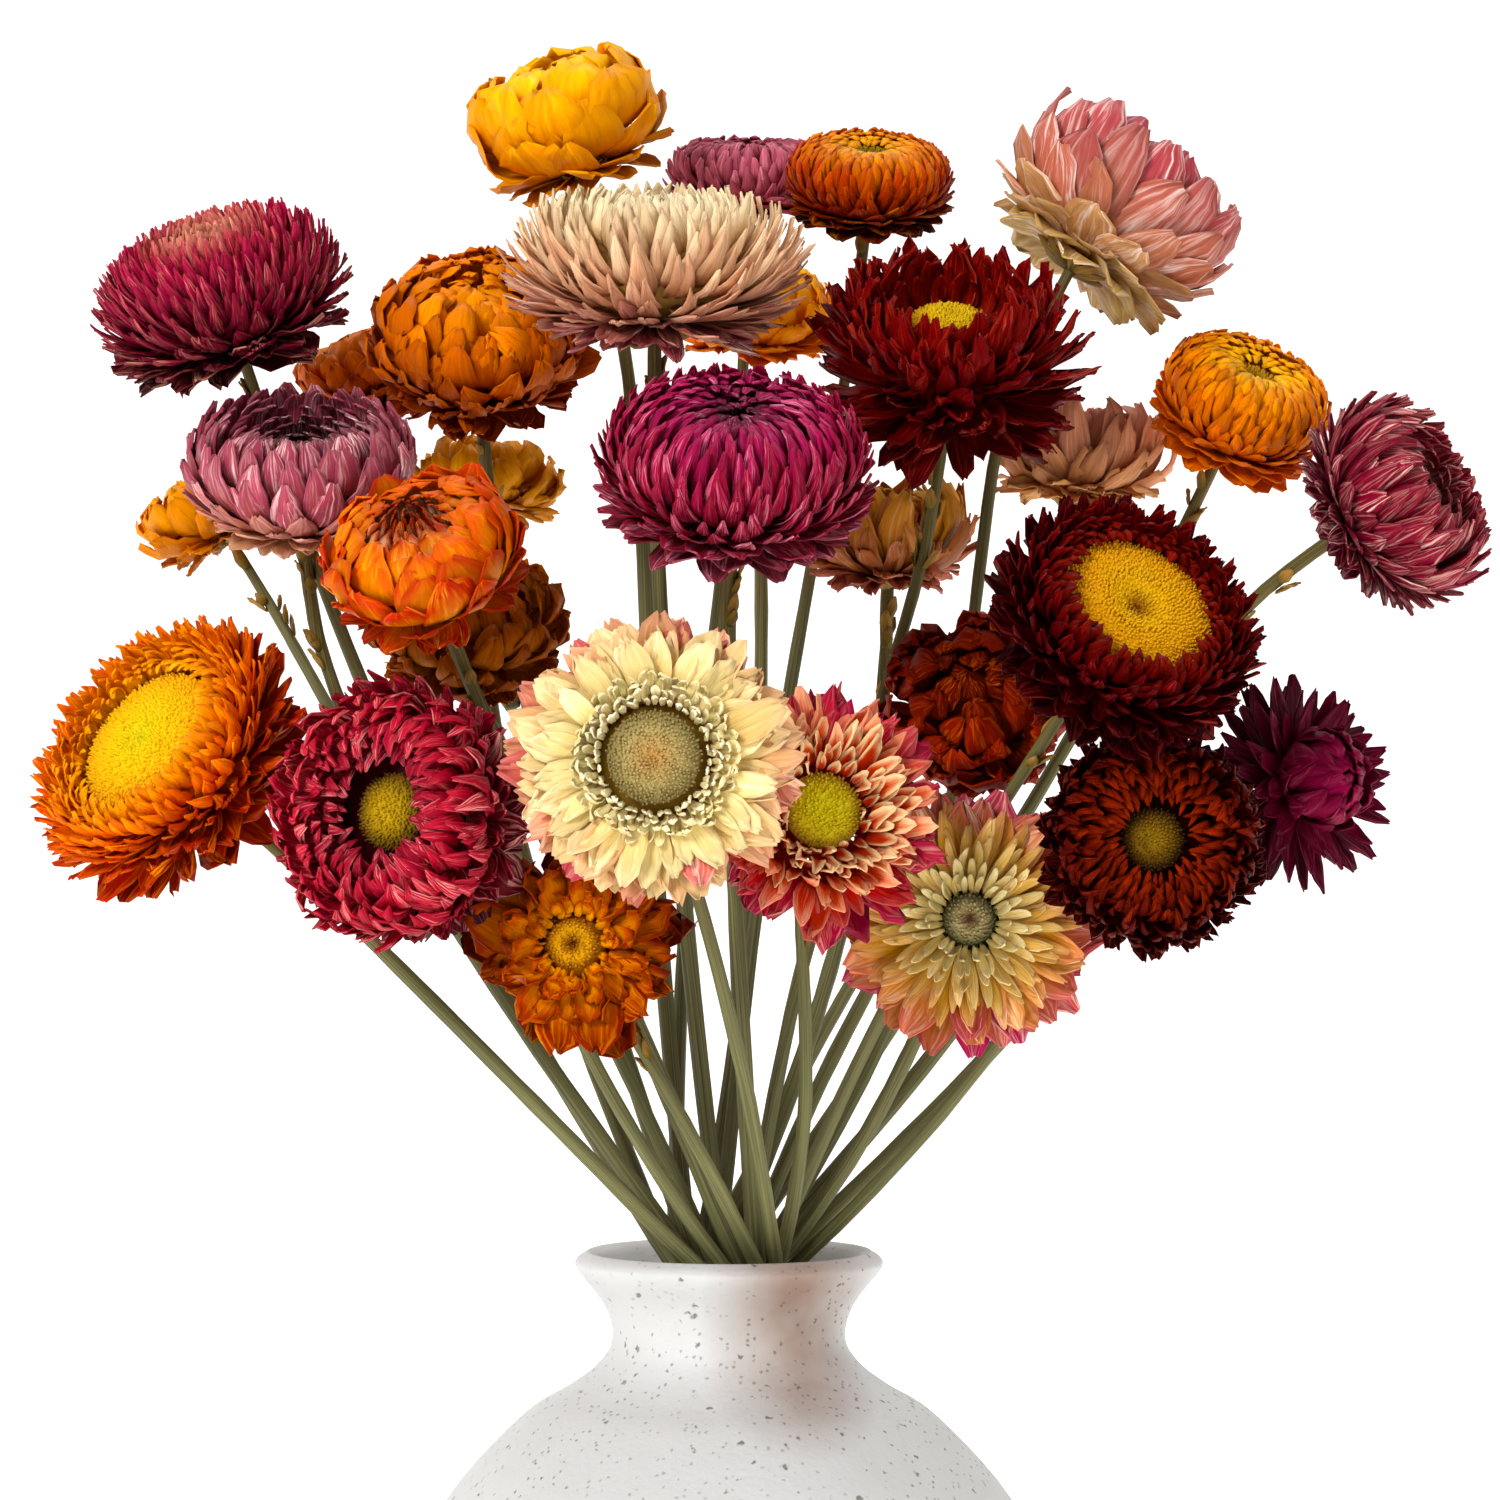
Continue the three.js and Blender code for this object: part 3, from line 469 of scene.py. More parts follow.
# %% Forms of flower heads
SKIRT = [(0.20, -0.38, 0.86, -0.46, -25, 0.8, 1.4), (0.34, -0.32, 0.99, -0.24, 5, 0.85, 1.4)]
BROAD_SKIRT = [(0.20, -0.38, 0.88, -0.46, -20, 0.36, 3.2), (0.34, -0.32, 0.99, -0.24, 5, 0.42, 3.0)]
FORMS = {
    "dome": SKIRT + [
        (0.48, -0.28, 1.00, 0.00, 45, 1.0, 1.1), (0.56, -0.18, 0.95, 0.22, 75, 1.1, 1.0),
        (0.60, -0.06, 0.82, 0.38, 95, 1.1, 1.0), (0.60, 0.05, 0.62, 0.47, 105, 1.0, 0.95),
        (0.54, 0.14, 0.38, 0.50, 110, 0.85, 0.9), (0.42, 0.20, 0.16, 0.47, 100, 0.6, 0.8),
        (0.24, 0.26, 0.03, 0.46, 70, 0.45, 0.6),
    ],
    "mop": [
        (0.14, -0.36, 0.66, -0.46, -20, 0.8, 1.3), (0.28, -0.32, 0.90, -0.28, 5, 0.9, 1.2),
        (0.42, -0.24, 1.00, -0.02, 35, 1.0, 1.0), (0.52, -0.12, 0.95, 0.22, 50, 1.1, 1.0),
        (0.54, 0.00, 0.82, 0.38, 55, 1.1, 1.0), (0.50, 0.10, 0.64, 0.46, 55, 1.0, 1.0),
        (0.40, 0.16, 0.44, 0.49, 55, 0.9, 1.0), (0.28, 0.19, 0.22, 0.47, 50, 0.7, 1.0),
        (0.12, 0.20, 0.05, 0.44, 40, 0.4, 1.0),
    ],
    "brush": BROAD_SKIRT + [
        (0.52, -0.26, 1.00, 0.00, 35, 1.0, 1.1), (0.62, -0.12, 0.94, 0.22, 40, 1.1, 1.0),
        (0.62, 0.02, 0.82, 0.36, 40, 1.1, 1.0), (0.54, 0.14, 0.66, 0.45, 35, 1.0, 1.0),
        (0.42, 0.20, 0.48, 0.49, 30, 0.9, 1.0), (0.28, 0.23, 0.30, 0.50, 25, 0.7, 1.0),
        (0.12, 0.24, 0.12, 0.48, 15, 0.4, 1.0),
    ],
    "clasp": [
        (0.18, -0.40, 0.80, -0.50, -35, 1.1, 0.7), (0.28, -0.36, 0.96, -0.32, -10, 1.1, 0.8),
        (0.36, -0.32, 1.00, -0.02, 40, 1.0, 1.0), (0.44, -0.24, 0.96, 0.24, 75, 0.9, 1.1),
        (0.50, -0.12, 0.82, 0.42, 95, 0.9, 1.1), (0.50, 0.00, 0.60, 0.50, 110, 0.9, 1.0),
        (0.46, 0.10, 0.36, 0.50, 115, 0.8, 0.9), (0.34, 0.18, 0.16, 0.45, 110, 0.8, 0.6),
        (0.20, 0.22, 0.05, 0.40, 100, 0.6, 0.4),
    ],
    "goblet": [
        (0.14, -0.42, 0.66, -0.52, -60, 1.1, 1.0), (0.22, -0.40, 0.90, -0.36, -35, 1.2, 1.0),
        (0.26, -0.38, 0.99, -0.10, 5, 1.1, 1.0), (0.32, -0.34, 0.99, 0.20, 50, 1.0, 1.0),
        (0.38, -0.28, 0.88, 0.44, 70, 1.0, 1.0), (0.44, -0.20, 0.68, 0.54, 85, 1.0, 1.0),
        (0.46, -0.08, 0.46, 0.52, 95, 0.9, 0.9), (0.40, 0.04, 0.26, 0.42, 95, 0.7, 0.8),
        (0.30, 0.10, 0.12, 0.34, 90, 0.5, 0.7),
    ],
    "cushion": BROAD_SKIRT + [
        (0.50, -0.26, 1.00, 0.02, 50, 1.0, 1.1), (0.60, -0.14, 0.93, 0.24, 80, 1.1, 1.0),
        (0.62, -0.02, 0.78, 0.37, 105, 1.1, 1.0), (0.60, 0.06, 0.58, 0.42, 115, 1.0, 0.9),
        (0.52, 0.11, 0.36, 0.40, 120, 0.8, 0.8), (0.42, 0.14, 0.17, 0.33, 115, 0.6, 0.7),
    ],
    "bud": [
        (0.20, -0.40, 0.80, -0.46, -30, 1.1, 0.6), (0.30, -0.38, 0.98, -0.20, -5, 1.1, 0.8),
        (0.38, -0.34, 1.00, 0.14, 25, 1.0, 1.0), (0.44, -0.28, 0.98, 0.36, 50, 0.9, 1.0),
        (0.52, -0.20, 0.80, 0.46, 85, 1.0, 1.1), (0.56, -0.08, 0.62, 0.50, 105, 1.0, 1.0),
        (0.54, 0.04, 0.46, 0.52, 115, 1.0, 0.9), (0.48, 0.14, 0.34, 0.50, 115, 1.1, 0.7),
        (0.36, 0.26, 0.26, 0.52, 70, 2.2, 0.16), (0.22, 0.30, 0.16, 0.54, 40, 2.0, 0.14),
        (0.08, 0.32, 0.04, 0.54, 30, 1.0, 0.14),
    ],
    "heap": BROAD_SKIRT + [
        (0.50, -0.26, 1.00, 0.02, 50, 1.0, 1.1), (0.60, -0.14, 0.93, 0.24, 75, 1.1, 1.0),
        (0.62, -0.02, 0.80, 0.38, 95, 1.1, 1.0), (0.58, 0.08, 0.60, 0.46, 105, 1.0, 0.9),
        (0.50, 0.14, 0.38, 0.47, 110, 0.9, 0.85), (0.38, 0.18, 0.20, 0.44, 105, 0.75, 0.8),
        (0.24, 0.22, 0.06, 0.40, 85, 0.5, 0.7),
    ],
    "bowl": [
        (0.16, -0.42, 0.62, -0.50, -40, 1.0, 1.0), (0.30, -0.40, 0.88, -0.34, -5, 1.0, 1.0),
        (0.40, -0.36, 0.98, -0.08, 35, 1.0, 1.1), (0.50, -0.28, 1.00, 0.18, 60, 1.0, 1.1),
        (0.58, -0.16, 0.94, 0.38, 80, 1.0, 1.1), (0.60, -0.04, 0.80, 0.50, 100, 1.0, 1.0),
        (0.58, 0.06, 0.62, 0.50, 110, 1.0, 0.8), (0.50, 0.08, 0.44, 0.42, 110, 1.2, 0.55),
        (0.38, 0.08, 0.28, 0.35, 100, 1.2, 0.45), (0.22, 0.08, 0.10, 0.30, 80, 1.0, 0.4),
    ],
    "hooked": [
        (0.24, -0.32, 0.94, -0.34, -5, 0.6, 1.8), (0.32, -0.24, 1.00, -0.14, 5, 0.6, 1.7),
        (0.42, -0.16, 0.96, 0.06, 10, 0.8, 1.2), (0.48, -0.10, 0.86, 0.20, 10, 1.0, 0.8),
        (0.46, -0.06, 0.76, 0.30, -10, 1.1, 0.7), (0.42, -0.02, 0.64, 0.36, -30, 1.1, 0.65),
        (0.37, 0.00, 0.51, 0.34, -40, 1.1, 0.6), (0.31, 0.02, 0.39, 0.26, -40, 1.1, 0.5),
    ],
    "rolled": BROAD_SKIRT + [
        (0.50, -0.26, 1.00, 0.04, 50, 1.0, 1.1), (0.58, -0.14, 0.92, 0.27, 80, 1.1, 1.0),
        (0.60, -0.02, 0.76, 0.38, 105, 1.1, 1.0), (0.60, 0.04, 0.56, 0.36, 120, 1.1, 0.9),
        (0.54, 0.04, 0.40, 0.26, 115, 1.0, 0.8), (0.45, 0.02, 0.28, 0.16, 110, 0.9, 0.6),
    ],
    "ruff": [
        (0.22, -0.36, 0.90, -0.44, -20, 0.4, 2.6), (0.38, -0.28, 1.00, -0.20, 10, 0.5, 2.2),
        (0.50, -0.20, 1.00, 0.02, 30, 1.0, 1.1), (0.56, -0.11, 0.92, 0.17, 50, 1.2, 1.0),
        (0.58, -0.03, 0.80, 0.27, 65, 1.3, 0.85), (0.58, 0.03, 0.67, 0.28, 85, 1.3, 0.7),
        (0.56, 0.07, 0.55, 0.24, 110, 1.2, 0.55), (0.53, 0.08, 0.46, 0.19, 115, 1.0, 0.45),
    ],
    "strap": [
        (0.24, -0.28, 0.94, -0.28, -5, 0.7, 1.1), (0.30, -0.18, 1.00, -0.16, 5, 0.8, 1.1),
        (0.40, -0.08, 0.99, -0.09, 5, 1.0, 1.0), (0.42, -0.03, 0.96, -0.02, 4, 1.1, 0.95),
        (0.43, 0.00, 0.92, 0.04, 6, 1.2, 0.85), (0.43, 0.02, 0.84, 0.09, 10, 1.2, 0.75),
        (0.43, 0.03, 0.56, 0.15, 60, 1.8, 0.26), (0.42, 0.04, 0.51, 0.19, 60, 1.9, 0.24),
        (0.38, 0.05, 0.44, 0.19, 45, 1.8, 0.22), (0.35, 0.05, 0.38, 0.16, 40, 1.6, 0.2),
    ],
    "ray": [
        (0.24, -0.32, 0.94, -0.34, -5, 0.7, 2.0), (0.30, -0.24, 1.00, -0.20, 5, 0.7, 2.0),
        (0.34, -0.14, 0.98, -0.06, 5, 0.6, 1.9), (0.34, -0.08, 0.88, 0.02, 10, 0.7, 1.4),
        (0.32, -0.03, 0.80, 0.09, 15, 1.0, 0.7), (0.28, 0.01, 0.72, 0.15, 20, 1.1, 0.55),
        (0.25, 0.03, 0.60, 0.19, 30, 1.1, 0.5), (0.22, 0.05, 0.46, 0.20, 45, 1.1, 0.42),
        (0.19, 0.06, 0.31, 0.17, 75, 1.0, 0.3),
    ],
    "frilly": [
        (0.24, -0.32, 0.94, -0.34, -5, 0.8, 1.2), (0.28, -0.24, 1.00, -0.18, 5, 0.9, 1.2),
        (0.32, -0.14, 0.98, -0.02, 10, 0.9, 1.2), (0.34, -0.05, 0.86, 0.10, 15, 0.9, 1.1),
        (0.32, 0.01, 0.70, 0.17, 25, 0.9, 0.9), (0.29, 0.04, 0.50, 0.20, 35, 1.0, 0.6),
        (0.24, 0.05, 0.34, 0.18, 60, 1.4, 0.3),
    ],
    "tufted": [
        (0.24, -0.34, 0.90, -0.42, -10, 1.0, 1.2), (0.34, -0.26, 1.00, -0.18, 10, 1.0, 1.1),
        (0.40, -0.14, 0.98, 0.08, 30, 1.1, 1.0), (0.42, -0.04, 0.86, 0.26, 45, 1.1, 0.9),
        (0.42, 0.03, 0.70, 0.36, 60, 1.1, 0.85), (0.40, 0.05, 0.54, 0.36, 75, 1.1, 0.75),
        (0.37, 0.05, 0.40, 0.26, 80, 1.0, 0.55),
    ],
    "star": [
        (0.16, -0.32, 0.94, -0.40, -12, 0.9, 0.9), (0.20, -0.22, 1.00, -0.12, 2, 1.0, 1.0),
        (0.22, -0.12, 0.92, 0.06, 5, 1.0, 1.0), (0.24, -0.06, 0.78, 0.20, 12, 0.9, 1.0),
        (0.28, -0.02, 0.46, 0.34, 60, 0.7, 1.2), (0.30, 0.02, 0.24, 0.46, 90, 0.6, 1.5),
        (0.22, 0.10, 0.08, 0.50, 90, 0.4, 1.5), (0.12, 0.18, 0.02, 0.49, 70, 0.3, 1.0),
    ],
}
# The core behind the bracts of each form: its radius and the height of its top, in head radii.
CORES = {
    "dome": (0.54, 0.34), "mop": (0.48, 0.24), "brush": (0.58, 0.28), "clasp": (0.46, 0.26),
    "goblet": (0.40, 0.14), "cushion": (0.54, 0.18), "rolled": (0.54, 0.02), "ruff": (0.52, 0.06),
    "strap": (0.40, 0.03), "ray": (0.24, 0.03), "frilly": (0.28, 0.02), "tufted": (0.40, 0.04),
    "star": (0.26, 0.24), "bud": (0.50, 0.36), "heap": (0.52, 0.28), "bowl": (0.54, 0.14),
    "hooked": (0.30, 0.03),
}


def form_line(form, share):
    lines = FORMS[form]
    place = min(share, 0.9999) * (len(lines) - 1)
    low = int(place)
    return [a + (b - a) * (place - low) for a, b in zip(lines[low], lines[low + 1])]


print("forms:", len(FORMS), "lines:", sum(len(lines) for lines in FORMS.values()))

# %% [markdown]
# ## Building a head
# The bracts of one row share a few blades, so that a row isn't made of copies of one shape, and each
# copy is then turned, tilted, sized and tinted by chance. The chance is seeded with the head's
# number, so every run gives the same bouquet. All copies are gathered in one bmesh for each head,
# round a core that fills the middle. The bracts of the outer skirt always have round tips.

# %% The core of a head, and the blades that a row of it shares
GOLDEN_ANGLE = math.radians(137.5)
CORE_BOTTOM = -0.40
CORE_SIDES = 20
CORE_RINGS = 10
BLADES_IN_ROW = 4
NARROW_CUP = 0.15
WIDE_CUP = 0.09
CALM_FRILL = 0.04
WILD_FRILL = 0.2


def set_values(mesh, **values):
    for name, value in values.items():
        mesh.attributes[name].data.foreach_set("value", [value] * len(mesh.vertices))


def head_place(centre, axis):
    return facing(Vector(centre) * MM, Vector(axis))


def head_core(form, radius, tall, head):
    bm = bmesh.new()
    for name in BRACT_VALUES:
        bm.verts.layers.float.new(name)
    wide, top = CORES[form]
    high, low = top * tall, CORE_BOTTOM * tall
    bmesh.ops.create_uvsphere(bm, u_segments=CORE_SIDES, v_segments=CORE_RINGS, radius=radius * MM)
    bmesh.ops.scale(bm, verts=bm.verts, vec=(wide, wide, (high - low) / 2))
    bmesh.ops.translate(bm, verts=bm.verts, vec=(0, 0, radius * MM * (high + low) / 2))
    bmesh.ops.transform(bm, matrix=head, verts=bm.verts)
    layer = bm.verts.layers.float.get("layer")
    for v in bm.verts:
        v[layer] = 1
    return bm


# Wild is how unruly a head is: it scales how far chance may move each bend, size and angle.
def row_blades(chance, reach, curl, width, rounded, wild):
    blades = []
    for _ in range(BLADES_IN_ROW):
        bend = math.radians(curl) * chance.uniform(1 - 0.4 * wild, 1 + 0.3 * wild)
        bend += chance.gauss(0, 0.15 * wild)
        longer = (bend / 2) / math.sin(bend / 2) if abs(bend) > 0.01 else 1
        cup = chance.uniform(0.6, 1.4) * (NARROW_CUP if width < NARROW_BRACT else WIDE_CUP)
        frill = CALM_FRILL + WILD_FRILL * wild
        blades.append(bract_blade(chance, reach * longer, width * MM, bend, rounded, cup, frill))
    return blades


# %% Gather the bracts of a head
SKIRT_SHARE = 0.15
SKIRT_ROUND = 0.9
FEWEST_IN_ROW = 4


def flower_head(number, slot, radius, tall, centre, axis, form, count, layers, width, rounded, wild,
                finish):
    chance = random.Random(number)
    head = head_place(centre, axis)
    bm = head_core(form, radius, tall, head)
    for layer in range(layers):
        share = layer / (layers - 1)
        foot_r, foot_z, tip_r, tip_z, curl, crowd, wide = form_line(form, share)
        foot = Vector((foot_r, 0, foot_z * tall)) * radius * MM
        reach = Vector((tip_r, 0, tip_z * tall)) * radius * MM - foot
        rise = math.atan2(reach.z, reach.x)
        soft = max(rounded, SKIRT_ROUND) if share < SKIRT_SHARE else rounded
        blades = row_blades(chance, reach.length, curl, width * wide, soft, wild)
        in_row = max(FEWEST_IN_ROW, round(count * crowd))
        for i in range(in_row):
            blade, tip = chance.choice(blades)
            bract = blade.copy()
            turn = 2 * math.pi * (i + chance.uniform(-0.25, 0.25)) / in_row + layer * GOLDEN_ANGLE
            lift = rise - math.atan2(tip.z, tip.x) + chance.gauss(0, 0.12 * wild)
            size = reach.length / math.hypot(tip.x, tip.z) * chance.uniform(1 - 0.2 * wild, 1 + 0.05 * wild)
            place = head @ Matrix.Rotation(turn, 4, "Z") @ Matrix.Translation(foot)
            swing = Matrix.Rotation(chance.gauss(0, 0.14 * wild), 4, "Z")
            roll = Matrix.Rotation(chance.gauss(0, 0.3 * wild), 4, "X")
            sizes = Matrix.Diagonal((size, size * chance.uniform(0.85, 1.15), size, 1))
            bract.transform(place @ swing @ Matrix.Rotation(-lift, 4, "Y") @ roll @ sizes)
            depth = min(max(share + chance.gauss(0, 0.04), 0), 1)
            set_values(bract, layer=depth * INNERMOST, tint=chance.random())
            bm.from_mesh(bract)
            bpy.data.meshes.remove(bract)
        for blade, _ in blades:
            bpy.data.meshes.remove(blade)
    return piece(f"bloom_{number:02d}_{slot}", bm, [finish], [f"head_{number:02d}_{slot}"])


# %% Colours of each head
# A finish lists the colours of the feet, then of the tips, each from the outermost row to the
# innermost, and then the pale colour of the veins and of the painted highlight. After it come turn
# and streak, where they differ from most, and the others by name.
FINISHES = {
    1: papery("golden", ["#b0600c", "#e48408", "#f0a408"], ["#b86008", "#f09808", "#f8bc08"], "#ffe450",
              0.5, shade=0.28),
    2: papery("mauve", ["#8c2838", "#a43c50", "#5a1020"], ["#963444", "#c86c7e", "#741828"], "#ecb4bc",
              0.45, 0.5),
    3: papery("orange_red", ["#340408", "#780e06", "#a82c06", "#dc7008", "#e09408"],
              ["#400508", "#841206", "#b43006", "#e07806", "#e89c08"], "#fbb420", shade=0.35),
    4: papery("peach", ["#702838", "#b87c58", "#d4a468", "#dcb06c"],
              ["#94444c", "#dca480", "#ecd4ac", "#f4e4c0"], "#fff4dc", 0.45, 0.4, shade=0.48),
    5: papery("pink", ["#b8884c", "#b4805c", "#b06c68", "#842834"],
              ["#ccaa6c", "#b8705c", "#a84654", "#600c24"], "#f8e8e0", 0.55, 0.7, shade=0.4),
    # The inner rows are pale pink and cream: partly the head's own colour, partly a painted highlight on
    # its top.
    6: papery("crimson", ["#1c0408", "#5c0820", "#94103a", "#b44050"],
              ["#38060f", "#840c30", "#ac1444", "#d8907c"], "#ecb4a0", streak=0.45),
    7: papery("orange", ["#7c2006", "#bc4a06", "#e07406"], ["#7a1a06", "#cc5a06", "#f08c08"], "#f8b040",
              0.5, shade=0.35),
    8: papery("dark_orange", ["#741c08", "#c44c06", "#d86c08"], ["#801e08", "#d45a06", "#ec800a"],
              "#f09830", shade=0.3),
    # Partly its own bright orange, partly painted light: it is made lighter still because it lies in the
    # shade of head 4.
    9: papery("bright_orange_and_painted_light", ["#e87008", "#ff9c08", "#ffac10"], ["#e86c08", "#ffa008", "#ffbc20"],
              "#ffd050", shade=0.12),
    # Here and on head 22 the feet are lighter than the tips: partly their own colour, partly painted light
    # for the glow that the thin bracts let into the shade between them.
    10: papery("near_black_maroon", ["#5c1a1a", "#701c1c", "#781e1a"], ["#4c1014", "#6c161a", "#701a1a"],
               "#c46050", streak=0.5, shade=0.2),
    11: papery("lilac_pink", ["#dcb070", "#bc6852", "#9c3644", "#580c20"],
               ["#d09c78", "#ac5664", "#904050", "#440818"], "#f8dcd8", 0.5, 0.6, shade=0.3),
    12: papery("amber", ["#b86008", "#e88c08", "#f2a408"], ["#b05808", "#e88808", "#f49c0a"], "#fbc040",
               shade=0.3),
    13: papery("yellow", ["#b86808", "#e08c08", "#eca008"], ["#c07008", "#e49408", "#f0a810"], "#f8c848"),
    14: papery("flame", ["#b82c08", "#ec9808", "#f09c08", "#f0a020", "#f0c8a0", "#801408"],
               ["#981406", "#b01604", "#c43006", "#dc5c10", "#981410", "#780c08"], "#ffd080", 0.74, 0.32,
               shade=0.35, edge=0.3),
    15: papery("rust_brown", ["#903c0c", "#c87008", "#a04408"], ["#6c1c08", "#a85008", "#742808"],
               "#e8a838", 0.55),
    16: papery("magenta", ["#80383c", "#8c2c38", "#6c0218", "#840424", "#380416"],
               ["#78343c", "#8c2838", "#94062e", "#a4064c", "#44061c"], "#fcb4cc", streak=0.5, shade=0.5),
    17: papery("dusty_peach", ["#cc9460", "#c88860", "#b87464"], ["#d49c68", "#d09070", "#bc7470"],
               "#f4d0b0", streak=0.35, shade=0.25),
    18: papery("dusty_rose", ["#94483c", "#b06c40", "#cc8c38"], ["#a85c50", "#bc7848", "#dca43c"],
               "#ecc8a0", streak=0.35, shade=0.3),
    19: papery("tangerine", ["#e06c08", "#d85c06", "#e87806", "#eca808"],
               ["#dc6408", "#d45806", "#e88006", "#f0b008"], "#ffc838", shade=0.35),
    20: papery("crimson_cream", ["#5c0418", "#740a20", "#982c44", "#d0988c"],
               ["#54061e", "#780c28", "#8c1830", "#6c1024"], "#f8d0c4", 0.6, 0.65, shade=0.45),
    21: papery("black_red", ["#240405", "#40060a", "#540a0a", "#8c1808"],
               ["#1c0406", "#3a060a", "#540a0c", "#701004"], "#b04c48", streak=0.35),
    # As on head 10, the feet are lighter than the tips: partly their own colour, partly painted light for
    # the glow through the thin bracts in the shade.
    22: papery("deep_rust", ["#5c0c08", "#9c280c", "#701c0a"], ["#480a06", "#8c1a0a", "#58100a"],
               "#e47c48", 0.5, 0.4, shade=0.6),
    # Its dark core is painted shade in the gap round the disc.
    23: papery("maroon_rust", ["#1c0406", "#340608", "#74180a"], ["#180306", "#3c080a", "#80220e"],
               "#c05848", streak=0.4, core="#240804"),
    24: papery("plum", ["#3c0e1a", "#68182c", "#983050"], ["#300810", "#581024", "#842040"], "#cc7084",
               shade=0.35),
    25: papery("marigold", ["#a81406", "#c82406", "#f06408", "#f88408", "#fc9808"],
               ["#8c0c08", "#b81c06", "#ec6006", "#f08408", "#f8a010"], "#ffd058", 0.6, 0.42, shade=0.35),
    # Its dark core is painted shade in the gap round the disc.
    26: papery("wine_pink", ["#50040f", "#900c24", "#b4142c", "#98182c"],
               ["#40040f", "#980e28", "#bc2038", "#980c2c"], "#f8c4bc", streak=0.52, shade=0.5,
               core="#34060c"),
    27: papery("cream", ["#c86050", "#dcbc7c", "#ecdc9c", "#e0cc94"],
               ["#cc5c68", "#ecc090", "#f2e0ac", "#fcf6d8"], "#fffae4", 0.85, 0.35, shade=0.25,
               core="#8c6c34"),
    28: papery("coral_cream", ["#a01438", "#c8303c", "#dc4c2c", "#dc3c1c", "#d0301c"],
               ["#8c0834", "#b02848", "#f09c7c", "#f8d0a0", "#f8d8a4"], "#fff0d4", 0.84, 0.25, shade=0.3,
               edge=0.55, core="#981c08"),
    29: papery("orange_maroon", ["#b03808", "#dc7406", "#e89008"], ["#500608", "#8c2006", "#b84408"],
               "#fcb030", 0.75, edge=0.55),
    # Its dark olive core is painted shade between the feet of the rays round the disc.
    30: papery("cream_rose", ["#b86048", "#e0a040", "#dcac50", "#e0c880"],
               ["#b43860", "#dc8464", "#e4b870", "#f0e4ac"], "#fff8dc", 0.78, 0.42, shade=0.36,
               core="#28300c"),
}

